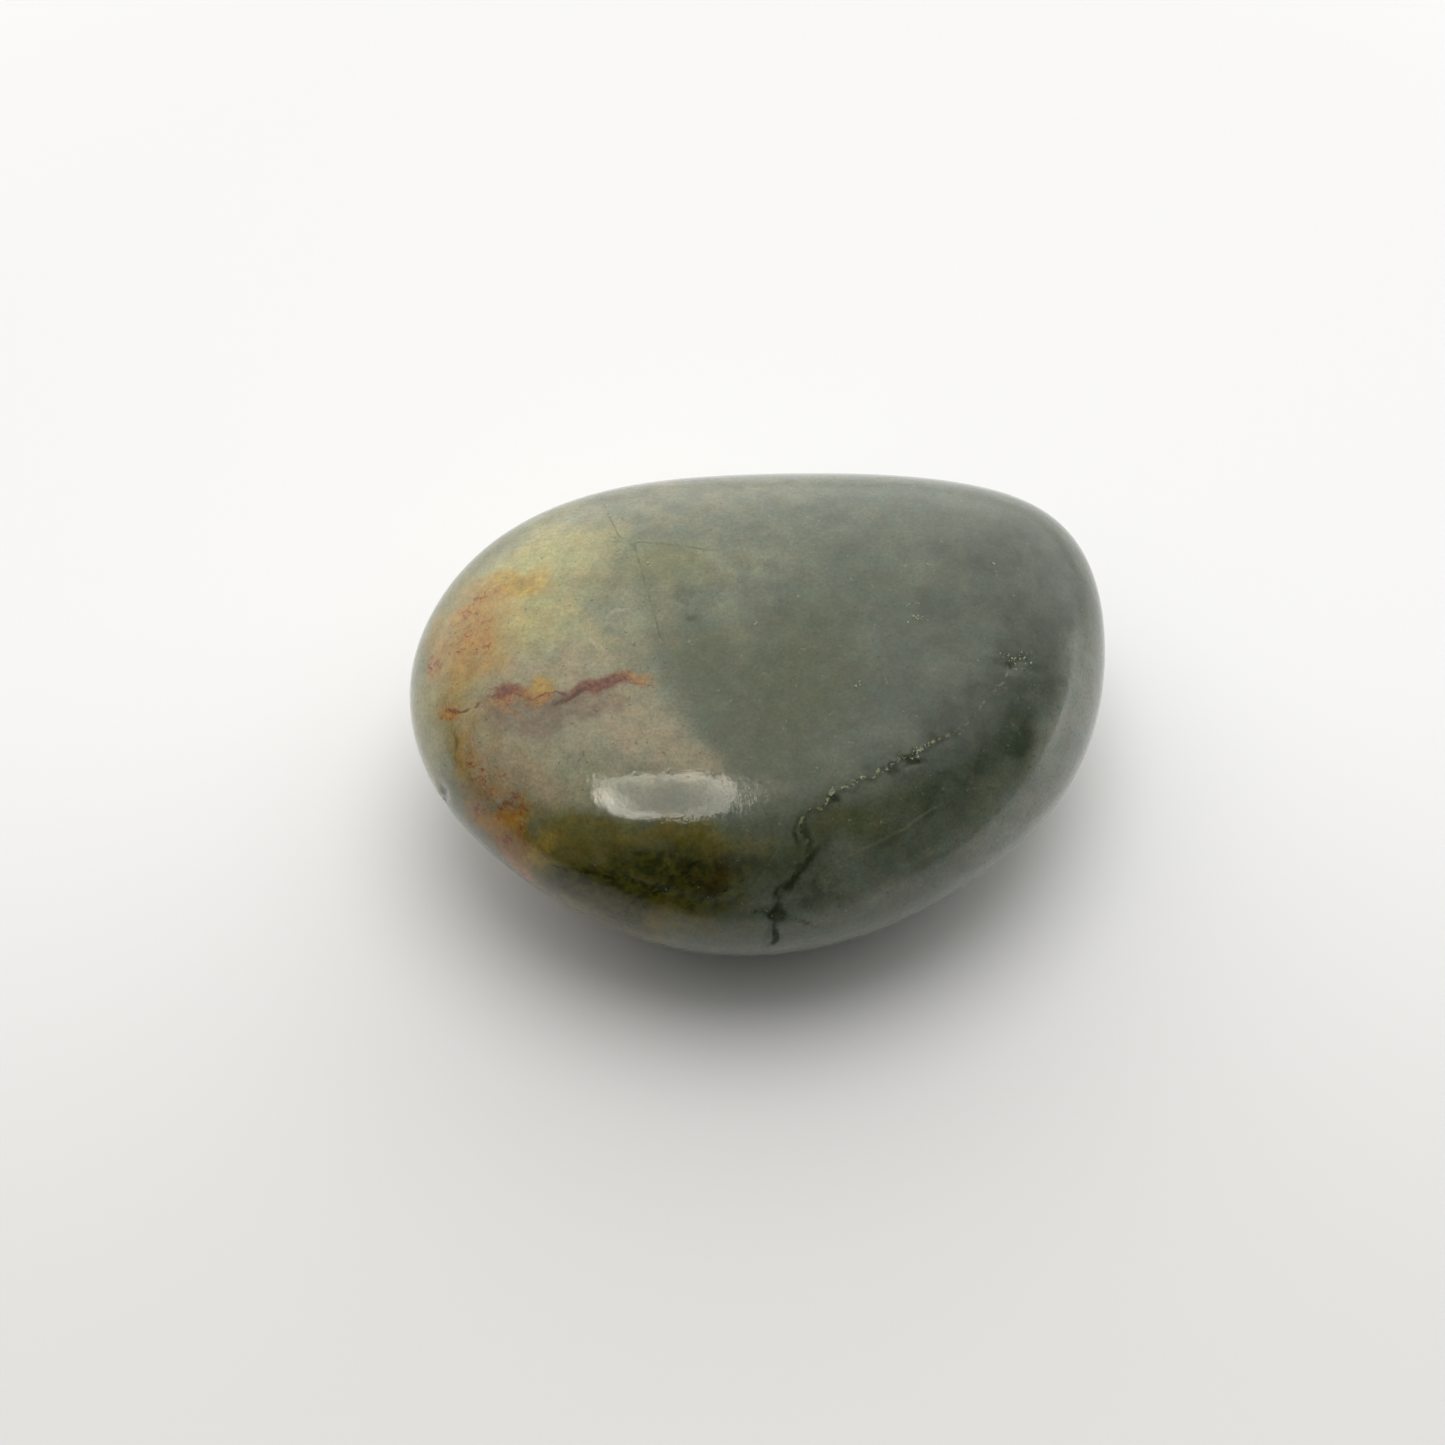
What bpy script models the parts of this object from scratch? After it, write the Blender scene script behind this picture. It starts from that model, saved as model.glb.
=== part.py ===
"""A tumbled stone: one pebble of polished green-grey chalcedony, lying on a small flat spot.

The pebble is a rounded many-faced form, as tumbling leaves it. Each broad face that wore down has a
bearing, a tilt and a reach from the stone's middle, and all of them melt into one smooth skin.
Metres, +Z up, +X along the length, -Y the near side. The origin is under the middle of the stone,
on the surface it rests on.
"""

import bpy
import bmesh
import numpy as np

MM = 0.001

# How far each worn face stands from the stone's middle, in metres.
TOP_REACH = 8.3 * MM
BASE_REACH = 8.1 * MM
# The underside slopes up a little towards the left end, so the stone rests right of its middle.
BASE_TILT = -87.0

RIGHT_END_REACH = 22.5 * MM
FAR_RIGHT_REACH = 25.0 * MM
FAR_SIDE_REACH = 15.5 * MM
FAR_LEFT_REACH = 16.0 * MM
LEFT_END_REACH = 28.0 * MM
NEAR_LEFT_REACH = 18.5 * MM
NEAR_SIDE_REACH = 19.0 * MM
NEAR_RIGHT_REACH = 19.0 * MM

# The shoulders tilt half way up, the far one less, and the undersides half way down.
SHOULDER_TILT = 45.0
FAR_SHOULDER_TILT = 35.0
FAR_SHOULDER_BEARING = 91.0
UNDERSIDE_TILT = -45.0
RIGHT_SHOULDER_REACH = 17.0 * MM
FAR_RIGHT_SHOULDER_REACH = 20.0 * MM
FAR_SHOULDER_REACH = 11.4 * MM
FAR_LEFT_SHOULDER_REACH = 18.5 * MM
LEFT_SHOULDER_REACH = 17.5 * MM
NEAR_LEFT_SHOULDER_REACH = 19.0 * MM
NEAR_SHOULDER_REACH = 12.5 * MM
NEAR_RIGHT_SHOULDER_REACH = 16.0 * MM

RIGHT_UNDERSIDE_REACH = 15.0 * MM
FAR_RIGHT_UNDERSIDE_REACH = 15.5 * MM
FAR_LEFT_UNDERSIDE_REACH = 12.0 * MM
LEFT_UNDERSIDE_REACH = 14.5 * MM
NEAR_LEFT_UNDERSIDE_REACH = 12.8 * MM
NEAR_RIGHT_UNDERSIDE_REACH = 12.0 * MM

# Each face is (bearing in degrees from +X towards +Y, tilt in degrees above level, reach).
WORN_FACES = {
    "top": (0.0, 90.0, TOP_REACH),
    "base": (180.0, BASE_TILT, BASE_REACH),
    "right end": (0.0, 0.0, RIGHT_END_REACH),
    "far right side": (45.0, 0.0, FAR_RIGHT_REACH),
    "far side": (90.0, 0.0, FAR_SIDE_REACH),
    "far left side": (135.0, 0.0, FAR_LEFT_REACH),
    "left end": (180.0, 0.0, LEFT_END_REACH),
    "near left side": (225.0, 0.0, NEAR_LEFT_REACH),
    "near side": (270.0, 0.0, NEAR_SIDE_REACH),
    "near right side": (315.0, 0.0, NEAR_RIGHT_REACH),
    "right shoulder": (0.0, SHOULDER_TILT, RIGHT_SHOULDER_REACH),
    "far right shoulder": (45.0, SHOULDER_TILT, FAR_RIGHT_SHOULDER_REACH),
    "far shoulder": (FAR_SHOULDER_BEARING, FAR_SHOULDER_TILT, FAR_SHOULDER_REACH),
    "far left shoulder": (135.0, SHOULDER_TILT, FAR_LEFT_SHOULDER_REACH),
    "left shoulder": (180.0, SHOULDER_TILT, LEFT_SHOULDER_REACH),
    "near left shoulder": (225.0, SHOULDER_TILT, NEAR_LEFT_SHOULDER_REACH),
    "near shoulder": (270.0, SHOULDER_TILT, NEAR_SHOULDER_REACH),
    "near right shoulder": (315.0, SHOULDER_TILT, NEAR_RIGHT_SHOULDER_REACH),
    "right underside": (0.0, UNDERSIDE_TILT, RIGHT_UNDERSIDE_REACH),
    "far right underside": (60.0, UNDERSIDE_TILT, FAR_RIGHT_UNDERSIDE_REACH),
    "far left underside": (120.0, UNDERSIDE_TILT, FAR_LEFT_UNDERSIDE_REACH),
    "left underside": (180.0, UNDERSIDE_TILT, LEFT_UNDERSIDE_REACH),
    "near left underside": (240.0, UNDERSIDE_TILT, NEAR_LEFT_UNDERSIDE_REACH),
    "near right underside": (300.0, UNDERSIDE_TILT, NEAR_RIGHT_UNDERSIDE_REACH),
}

# How crisply the worn faces meet: 2 would melt them into an egg, 20 would leave hard edges.
CRISPNESS = 5.15

# The flat spot that the stone rests on is where this much of its lowest swell is worn away.
REST_SPOT_DEPTH = 0.22 * MM

# Each subdivision of the starting ball quarters its faces: 5 gives a face about 0.9 mm long.
BALL_SUBDIVISIONS = 5

POLISH_COLOUR = (0.150, 0.165, 0.125, 1.0)
POLISH_ROUGHNESS = 0.16


def clear_scene():
    """Remove everything that the scene holds."""
    for obj in list(bpy.data.objects):
        bpy.data.objects.remove(obj)


def new_collection(name):
    """A collection of this name in the scene."""
    collection = bpy.data.collections.new(name)
    bpy.context.scene.collection.children.link(collection)
    return collection


def polished_stone():
    """The stone's material: smooth grey-green chalcedony with a tumbled polish."""
    material = bpy.data.materials.new("polished chalcedony")
    material.use_nodes = True
    shader = material.node_tree.nodes["Principled BSDF"]
    shader.inputs["Base Color"].default_value = POLISH_COLOUR
    shader.inputs["Roughness"].default_value = POLISH_ROUGHNESS
    shader.inputs["Metallic"].default_value = 0.0
    material.diffuse_color = POLISH_COLOUR
    return material


def worn_skin(directions):
    """The skin's distance from the middle along each unit direction.

    One face alone is a plane, at reach / cosine. The faces are joined by a power mean: the sum of
    (cosine / reach) to the power of the crispness, over the faces that look that way, brought back
    by the inverse power. So the nearest face rules, and neighbours round each other off.
    """
    bearing, tilt, reach = (np.array(column) for column in zip(*WORN_FACES.values()))
    bearing, tilt = np.radians(bearing), np.radians(tilt)
    outward = np.stack(
        [np.cos(tilt) * np.cos(bearing), np.cos(tilt) * np.sin(bearing), np.sin(tilt)], axis=1
    )
    cosine = np.clip(directions @ outward.T, 0.0, None)
    return ((cosine / reach) ** CRISPNESS).sum(axis=1) ** (-1.0 / CRISPNESS)


def wear_ball(mesh):
    """Move each corner of the unit ball out to the worn skin."""
    corners = np.empty(len(mesh.vertices) * 3)
    mesh.vertices.foreach_get("co", corners)
    corners = corners.reshape(-1, 3)
    directions = corners / np.linalg.norm(corners, axis=1, keepdims=True)
    mesh.vertices.foreach_set("co", (directions * worn_skin(directions)[:, None]).ravel())
    mesh.update()


def cut_rest_spot(mesh):
    """Grind the lowest swell away to a level flat, and close the cut with one face."""
    lowest = min(corner.co.z for corner in mesh.vertices)
    shape = bmesh.new()
    shape.from_mesh(mesh)
    cut = bmesh.ops.bisect_plane(
        shape,
        geom=shape.verts[:] + shape.edges[:] + shape.faces[:],
        dist=1e-7,
        plane_co=(0.0, 0.0, lowest + REST_SPOT_DEPTH),
        plane_no=(0.0, 0.0, -1.0),
        clear_outer=True,
    )
    rim = [item for item in cut["geom_cut"] if isinstance(item, bmesh.types.BMEdge)]
    bmesh.ops.contextual_create(shape, geom=rim)
    bmesh.ops.recalc_face_normals(shape, faces=shape.faces[:])
    shape.to_mesh(mesh)
    shape.free()


def set_origin_under_middle(mesh):
    """Slide the mesh so that the middle of its box stands over the origin and its flat lies at z = 0."""
    corners = np.empty(len(mesh.vertices) * 3)
    mesh.vertices.foreach_get("co", corners)
    corners = corners.reshape(-1, 3)
    low, high = corners.min(axis=0), corners.max(axis=0)
    corners -= [(low[0] + high[0]) / 2.0, (low[1] + high[1]) / 2.0, low[2]]
    mesh.vertices.foreach_set("co", corners.ravel())
    mesh.update()


def build_stone(collection, material):
    """The whole stone, one closed solid."""
    bpy.ops.mesh.primitive_ico_sphere_add(subdivisions=BALL_SUBDIVISIONS, radius=1.0)
    stone = bpy.context.object
    stone.name = "stone"
    stone.data.name = "stone"
    wear_ball(stone.data)
    cut_rest_spot(stone.data)
    set_origin_under_middle(stone.data)
    stone.data.shade_smooth()
    stone.data.materials.append(material)
    for home in list(stone.users_collection):
        home.objects.unlink(stone)
    collection.objects.link(stone)
    return stone


def main():
    clear_scene()
    build_stone(new_collection("tumbled stone"), polished_stone())


main()
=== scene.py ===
"""The looks of a tumbled stone: green-grey chalcedony with rust, cream and moss, polished all over.

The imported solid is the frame. The stone's skin is worked out again on a fine grid, from the same worn
faces, and gets the relief that the solid is too coarse for: the healed seam, its pits and the chip.
The marks of the side that the picture shows are placed by picture points, which are carried along the
sightline onto the skin. The marks of the hidden sides are placed by bearing and tilt.
Sizes are in millimetres until a mesh is filled, and a picture point is in pixels of the whole frame.
"""

import logging
import math
from dataclasses import dataclass, field
from enum import Enum

import bpy
import numpy as np
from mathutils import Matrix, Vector


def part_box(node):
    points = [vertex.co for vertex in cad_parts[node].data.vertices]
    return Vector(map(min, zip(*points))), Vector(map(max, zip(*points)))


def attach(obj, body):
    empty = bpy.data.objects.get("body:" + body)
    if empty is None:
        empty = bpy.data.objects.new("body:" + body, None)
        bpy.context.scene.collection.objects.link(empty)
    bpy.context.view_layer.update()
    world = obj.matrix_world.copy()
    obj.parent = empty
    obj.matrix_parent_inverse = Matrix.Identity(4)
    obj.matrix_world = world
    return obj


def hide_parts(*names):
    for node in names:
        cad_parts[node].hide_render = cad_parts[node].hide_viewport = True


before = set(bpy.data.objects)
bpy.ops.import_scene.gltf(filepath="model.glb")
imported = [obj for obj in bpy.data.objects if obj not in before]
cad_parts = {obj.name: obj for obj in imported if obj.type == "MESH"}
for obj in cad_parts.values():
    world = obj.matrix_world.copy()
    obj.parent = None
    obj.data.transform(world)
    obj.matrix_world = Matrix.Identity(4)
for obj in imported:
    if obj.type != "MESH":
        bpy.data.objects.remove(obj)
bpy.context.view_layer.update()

MM = 0.001

# The picture's frame, and the stone in it.
PICTURE_SIDE = 1445.0
STONE_LENGTH_PX = 698.0
STONE_LENGTH = 35.0

Pixel = tuple[float, float]
Rgb = tuple[float, float, float]

# How many places carry a seam round the hidden side, and how often a search for the skin is halved.
HIDDEN_STEPS = 24
HALVINGS = 48

# To how many digits two sides of the grid share a corner.
JOIN_DIGITS = 6

Socket = bpy.types.NodeSocket

# A step's start and end, and what it gives there.
Ramp = tuple[float, float, float, float]

log = logging.getLogger("tumbled_stone")


class Tint(Enum):
    """The tints that lie in the skin, in the order that they are laid on: mostly mineral colour, partly
    painted light.
    """

    DUSK = "dusk"
    GREEN = "green"
    OLIVE = "olive"
    # Pale grey of the lower right wall: partly the stone's own colour, partly a painted reflection of the
    # white table.
    HAZE_AND_TABLE_REFLECTION = "haze"
    MIST = "mist"
    BEIGE = "beige"
    CREAM = "cream"
    PEACH = "peach"
    BRONZE = "bronze"
    OCHRE = "ochre"
    MAUVE = "mauve"
    RUST = "rust"
    MAROON = "maroon"
    MOSS = "moss"
    UMBER = "umber"
    # Dark along the seam and down its wall: partly dark crack fill and moss branches, partly painted shade in
    # the open crack.
    CRACK_FILL_AND_SHADE = "shade"


class Region(Enum):
    """Where the fine relief and the lines are strong, and where the painted shadow beside the seam lies."""

    CRUST = "crust"
    # The gap: where the painted shadow beside the crust, and the crack's own dark line, are strong.
    SHADOWED_GAP = "gap"
    PITS = "pits"
    CHIP = "chip"


@dataclass(frozen=True)
class WornFace:
    """One broad face that tumbling wore: where it looks, and how far it stands from the middle."""

    bearing: float
    tilt: float
    reach: float

    def outward(self) -> np.ndarray:
        """The unit vector that the face looks along."""
        return heading(self.bearing, self.tilt)


def heading(bearing: float, tilt: float) -> np.ndarray:
    """A unit vector from a bearing and a tilt.

    Args:
        bearing: Degrees from +X towards +Y.
        tilt: Degrees above level.

    Returns:
        The vector's three components.
    """
    turn, rise = math.radians(bearing), math.radians(tilt)
    return np.array([math.cos(rise) * math.cos(turn), math.cos(rise) * math.sin(turn), math.sin(rise)])


def unit(vectors: np.ndarray) -> np.ndarray:
    """Each row of vectors brought to length 1."""
    return vectors / np.linalg.norm(vectors, axis=-1, keepdims=True)


def along(route: np.ndarray, passed: np.ndarray) -> np.ndarray:
    """The places on a route of straight stretches, where passed counts its points from 0."""
    return np.stack([np.interp(passed, np.arange(len(route)), axis) for axis in route.T], axis=1)


# How much faster or slower than the mean a swirl's waves turn.
SWIRL_SPREAD = (0.6, 1.5)


def swirl(points: np.ndarray, wavelength: float, seed: int, waves: int = 20) -> np.ndarray:
    """A smooth random field: the mean of plane waves of about one wavelength and every direction.

    Args:
        points: Rows of places.
        wavelength: The mean length of a wave.
        seed: Which field.
        waves: How many waves are added.

    Returns:
        One value for each point, spread around 0 with a spread of about 1.
    """
    draw = np.random.default_rng(seed)
    wave = unit(draw.normal(size=(waves, 3))) * draw.uniform(*SWIRL_SPREAD, size=(waves, 1))
    phase = draw.uniform(0.0, 2.0 * math.pi, size=waves)
    return np.sin(points @ wave.T * (2.0 * math.pi / wavelength) + phase).sum(axis=1) * math.sqrt(2.0 / waves)


def fill(name: str, corners: list, faces: list, material: bpy.types.Material) -> bpy.types.Object:
    """A mesh object in the scene.

    Args:
        name: The object's name.
        corners: Its corners, in metres.
        faces: The corner numbers of each face.
        material: What covers it.

    Returns:
        The object.
    """
    mesh = bpy.data.meshes.new(name)
    mesh.from_pydata(corners, [], faces)
    mesh.materials.append(material)
    piece = bpy.data.objects.new(name, mesh)
    bpy.context.scene.collection.objects.link(piece)
    return piece


def write_layer(piece: bpy.types.Object, name: str, values: np.ndarray) -> None:
    """Keep one value for each corner on the mesh, or a vector of two and 0, for the material to read.

    Args:
        piece: Whose mesh it is.
        name: The layer's name.
        values: One value for each corner, or two columns.
    """
    kind, part = "FLOAT", "value"
    if values.ndim > 1:
        kind, part, values = "FLOAT_VECTOR", "vector", np.pad(values, ((0, 0), (0, 1)))
    layer = piece.data.attributes.new(name, kind, "POINT")
    layer.data.foreach_set(part, values.astype(np.float32).ravel())


WORN_FACES = (
    WornFace(0.0, 90.0, 8.3),
    WornFace(180.0, -87.0, 8.1),
    WornFace(0.0, 0.0, 22.5),
    WornFace(45.0, 0.0, 25.0),
    WornFace(90.0, 0.0, 15.5),
    WornFace(135.0, 0.0, 16.0),
    WornFace(180.0, 0.0, 28.0),
    WornFace(225.0, 0.0, 18.5),
    WornFace(270.0, 0.0, 19.0),
    WornFace(315.0, 0.0, 19.0),
    WornFace(0.0, 45.0, 17.0),
    WornFace(45.0, 45.0, 20.0),
    WornFace(91.0, 35.0, 11.4),
    WornFace(135.0, 45.0, 18.5),
    WornFace(180.0, 45.0, 17.5),
    WornFace(225.0, 45.0, 19.0),
    WornFace(270.0, 45.0, 12.5),
    WornFace(315.0, 45.0, 16.0),
    WornFace(0.0, -45.0, 15.0),
    WornFace(60.0, -45.0, 15.5),
    WornFace(120.0, -45.0, 12.0),
    WornFace(180.0, -45.0, 14.5),
    WornFace(240.0, -45.0, 12.8),
    WornFace(300.0, -45.0, 12.0),
)


def ball_grid(cells: int) -> tuple[np.ndarray, np.ndarray]:
    """A ball's directions on six square grids, as on the sides of a cube, joined at their rims.

    On each side the two parameters run from -45 to 45 degrees, and their tangents are the place on
    the cube, so the cells stay of about one size.

    Args:
        cells: Cells along one side's rim.

    Returns:
        The unit directions, and the corner numbers of each cell, turning left seen from outside.
    """
    run = np.tan(np.linspace(-math.pi / 4.0, math.pi / 4.0, cells + 1))
    first, second = np.meshgrid(run, run, indexing="ij")
    number = np.arange((cells + 1) ** 2).reshape(cells + 1, cells + 1)
    cell = np.stack([number[:-1, :-1], number[1:, :-1], number[1:, 1:], number[:-1, 1:]], axis=-1)
    cell = cell.reshape(-1, 4)
    sides, loops = [], []
    for axis in range(3):
        for way in (1.0, -1.0):
            side = np.empty((cells + 1, cells + 1, 3))
            side[..., axis] = way
            side[..., (axis + 1) % 3] = first if way > 0.0 else second
            side[..., (axis + 2) % 3] = second if way > 0.0 else first
            loops.append(cell + len(sides) * (cells + 1) ** 2)
            sides.append(side.reshape(-1, 3))
    directions = unit(np.concatenate(sides))
    _, kept, joined = np.unique(directions.round(JOIN_DIGITS), axis=0, return_index=True, return_inverse=True)
    return directions[kept], joined.reshape(-1)[np.concatenate(loops)]


@dataclass
class StoneSkin:
    """The stone's smooth outer form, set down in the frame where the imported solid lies."""

    crispness: float = 5.15
    rest_spot_depth: float = 0.22
    nudge: float = 1e-3
    middle: np.ndarray = field(default_factory=lambda: np.zeros(3))

    def reach(self, directions: np.ndarray) -> np.ndarray:
        """The skin's distance from the middle: a power mean over the faces that look that way.

        The sum of (cosine / reach) to the power of the crispness, brought back by the inverse power,
        so the nearest face rules and its neighbours round it off.

        Args:
            directions: Rows of unit vectors.

        Returns:
            One distance for each direction.
        """
        outward = np.stack([face.outward() for face in WORN_FACES])
        reach = np.array([face.reach for face in WORN_FACES])
        cosine = np.clip(directions @ outward.T, 0.0, None)
        return ((cosine / reach) ** self.crispness).sum(axis=1) ** (-1.0 / self.crispness)

    def settle(self, directions: np.ndarray, low: Vector, high: Vector) -> None:
        """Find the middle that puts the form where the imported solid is, with its swell ground level.

        Args:
            directions: Rows of unit vectors, all round.
            low: The solid's lowest corner, in metres.
            high: The solid's highest corner, in metres.
        """
        form = directions * self.reach(directions)[:, None]
        form_low, form_high = form.min(axis=0), form.max(axis=0)
        box_low, box_high = np.array(low) / MM, np.array(high) / MM
        self.middle = (box_low + box_high - form_low - form_high) / 2.0
        self.middle[2] = box_low[2] - form_low[2] - self.rest_spot_depth

    def drop(self, points: np.ndarray, sink: float = 0.0) -> np.ndarray:
        """The places on the skin, or sunk in it, that look the same way from the middle as these."""
        towards = unit(points - self.middle)
        return self.middle + towards * (self.reach(towards) - sink)[:, None]

    def level(self, points: np.ndarray) -> np.ndarray:
        """How far out each point is, as a share of the skin's distance: below 1 is inside."""
        offset = points - self.middle
        return np.linalg.norm(offset, axis=1) / self.reach(unit(offset))

    def meet(self, start: np.ndarray, ray: np.ndarray, outside: np.ndarray, inside: np.ndarray) -> np.ndarray:
        """How far along each ray the skin is: the way between the two ends is halved again and again.

        Args:
            start: Where the rays start.
            ray: Rows of unit vectors.
            outside: A distance at which each ray is outside.
            inside: A distance at which it is inside.

        Returns:
            One distance for each ray.
        """
        for _ in range(HALVINGS):
            between = (outside + inside) / 2.0
            within = self.level(start + ray * between[:, None]) < 1.0
            inside, outside = np.where(within, between, inside), np.where(within, outside, between)
        return inside

    def normals(self, points: np.ndarray) -> np.ndarray:
        """Which way the skin faces at each point: the slope of the level along each axis.

        Args:
            points: Rows of places on the skin.

        Returns:
            Rows of unit vectors.
        """
        ways = self.nudge * np.eye(3)
        slope = [self.level(points + way) - self.level(points - way) for way in ways]
        return unit(np.stack(slope, axis=1))


@dataclass
class Sightline:
    """The camera's place and the line from it through each picture point onto the skin."""

    skin: StoneSkin
    elevation: float = 60.0
    lens: float = 90.0
    film: float = 36.0
    middle_px: Pixel = (756.6, 692.7)
    sees_from: float = 10.0 * MM
    sees_to: float = 20.0

    @property
    def pixel(self) -> float:
        """One pixel's size at the stone."""
        return STONE_LENGTH / STONE_LENGTH_PX

    @property
    def back(self) -> np.ndarray:
        """From the stone towards the camera."""
        return heading(-90.0, self.elevation)

    @property
    def right(self) -> np.ndarray:
        """To the right in the picture."""
        return np.array([1.0, 0.0, 0.0])

    @property
    def up(self) -> np.ndarray:
        """Up in the picture."""
        return np.cross(self.back, self.right)

    @property
    def target(self) -> np.ndarray:
        """The place in the stone's plane that the picture's own middle shows.

        Returns:
            The place's three parts.
        """
        half = PICTURE_SIDE / 2.0
        across, down = (self.middle_px[0] - half) * self.pixel, (self.middle_px[1] - half) * self.pixel
        return self.skin.middle - self.right * across + self.up * down

    @property
    def eye(self) -> np.ndarray:
        """The camera's place: as far back as makes the frame as wide as its pixels."""
        return self.target + self.back * (PICTURE_SIDE * self.pixel / self.film * self.lens)

    def land(self, pixels: tuple[Pixel, ...]) -> np.ndarray:
        """Where the sightlines through these picture points meet the skin.

        Each line is searched between the camera and its nearest place to the middle. A line that
        misses ends at that place, drawn in to the skin.

        Args:
            pixels: The picture points.

        Returns:
            One row for each point.
        """
        place, half = np.array(pixels, dtype=float), PICTURE_SIDE / 2.0
        goal = (
            self.target
            + (place[:, :1] - half) * self.pixel * self.right
            - (place[:, 1:] - half) * self.pixel * self.up
        )
        skin, eye = self.skin, self.eye
        ray = unit(goal - eye)
        away = skin.meet(eye, ray, np.zeros(len(place)), (skin.middle - eye) @ ray.T)
        return skin.drop(eye + ray * away[:, None])

    def place_camera(self) -> None:
        """Make the scene's camera."""
        lens = bpy.data.cameras.new("camera")
        lens.lens, lens.sensor_width = self.lens, self.film
        lens.clip_start, lens.clip_end = self.sees_from, self.sees_to
        camera = bpy.data.objects.new("camera", lens)
        camera.location = Vector(self.eye * MM)
        camera.rotation_mode = "QUATERNION"
        camera.rotation_quaternion = Vector(self.back).to_track_quat("Z", "Y")
        bpy.context.scene.collection.objects.link(camera)
        bpy.context.scene.camera = camera


@dataclass(frozen=True)
class Blot:
    """A soft-edged body of one tint or region, placed by a picture point.

    It holds how long, wide and deep its half is, how it is turned and how strong it is.
    """

    at: Pixel
    long: float
    wide: float
    turn: float = 0.0
    strength: float = 1.0
    deep: float = 5.0

    def seat(self, sight: Sightline) -> tuple[np.ndarray, ...]:
        """The blot's middle, and the ways out of the skin, to the right and up.

        Args:
            sight: The camera's line and the skin.

        Returns:
            The place and the three unit vectors.
        """
        return sight.land((self.at,))[0], sight.back, sight.right, sight.up

    def weigh(self, points: np.ndarray, sight: Sightline) -> np.ndarray:
        """The blot's weight at each point: its strength at the middle, falling as a bell curve.

        Args:
            points: Rows of places.
            sight: The camera's line and the skin.

        Returns:
            One weight for each point.
        """
        centre, back, right, up = self.seat(sight)
        angle = math.radians(self.turn)
        offset = points - centre
        along = offset @ (right * math.cos(angle) + up * math.sin(angle)) / self.long
        across = offset @ (up * math.cos(angle) - right * math.sin(angle)) / self.wide
        return self.strength * np.exp(-(along**2) - across**2 - (offset @ back / self.deep) ** 2)


class HiddenBlot(Blot):
    """A blot on a side that the picture doesn't show, placed by a bearing and a tilt."""

    def seat(self, sight: Sightline) -> tuple[np.ndarray, ...]:
        """The blot's middle, and the ways out of the skin, to the right and up.

        Args:
            sight: The camera's line and the skin.

        Returns:
            The place and the three unit vectors.
        """
        back = heading(*self.at)
        right = unit(np.cross([0.0, 0.0, 1.0], back))
        return sight.skin.drop(sight.skin.middle + back[None, :])[0], back, right, np.cross(back, right)


@dataclass(frozen=True)
class Strand:
    """A fine line in the skin: a vein, a seam or a moss thread, drawn through picture points.

    A healed crack lies in one plane through the stone, so such a line goes on round the hidden side.
    """

    name: str
    routes: tuple[tuple[Pixel, ...], ...]
    goes_round: bool = False

    def places(self, route: tuple[Pixel, ...], sight: Sightline) -> np.ndarray:
        """One route's places on the skin, with the hidden part added for a line that goes round.

        The hidden part lies in the plane of the route's first, middle and last place. It turns about
        the plane's nearest place to the stone's middle.

        Args:
            route: The picture points.
            sight: The camera's line.

        Returns:
            One row for each place.
        """
        skin, seen = sight.skin, sight.land(route)
        if not self.goes_round:
            return seen
        first, between, last = seen[0], seen[len(seen) // 2], seen[-1]
        plane = unit(np.cross(between - first, last - first))
        hub = skin.middle + plane * (plane @ (first - skin.middle))
        east = unit(last - hub)
        north = np.cross(plane, east)
        start = math.atan2((first - hub) @ north, (first - hub) @ east)
        middle = math.atan2((between - hub) @ north, (between - hub) @ east)
        sweep = start % (2.0 * math.pi)
        if middle % (2.0 * math.pi) < sweep:
            sweep -= 2.0 * math.pi
        turn = np.linspace(0.0, sweep, HIDDEN_STEPS + 2)[1:-1, None]
        ray = np.cos(turn) * east + np.sin(turn) * north
        away = skin.meet(hub, ray, np.full(len(ray), STONE_LENGTH), np.zeros(len(ray)))
        return np.concatenate([seen, hub + ray * away[:, None]])

    def follow(self, points: np.ndarray, normals: np.ndarray, sight: Sightline) -> np.ndarray:
        """Measure each point against the line.

        Each stretch between two picture points gives the nearest place on it. The gap to that place
        has the sign of the side that it lies on, and the nearest stretch is kept.

        Args:
            points: Rows of places on the skin.
            normals: Which way the skin faces there.
            sight: The camera's line.

        Returns:
            For each point the signed distance across the line, and the distance without sign.
        """
        nearest, across = np.full(len(points), math.inf), np.zeros(len(points))
        for route in self.routes:
            place = self.places(route, sight)
            for here, run in zip(place, np.diff(place, axis=0)):
                share = np.clip((points - here) @ run / (run @ run), 0.0, 1.0)
                gap = points - here - share[:, None] * run
                distance = np.linalg.norm(gap, axis=1)
                side = (gap * np.cross(run, normals)).sum(axis=1)
                nearer = distance < nearest
                nearest = np.where(nearer, distance, nearest)
                across = np.where(nearer, np.copysign(distance, side), across)
        return np.stack([across, nearest], axis=1)


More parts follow.
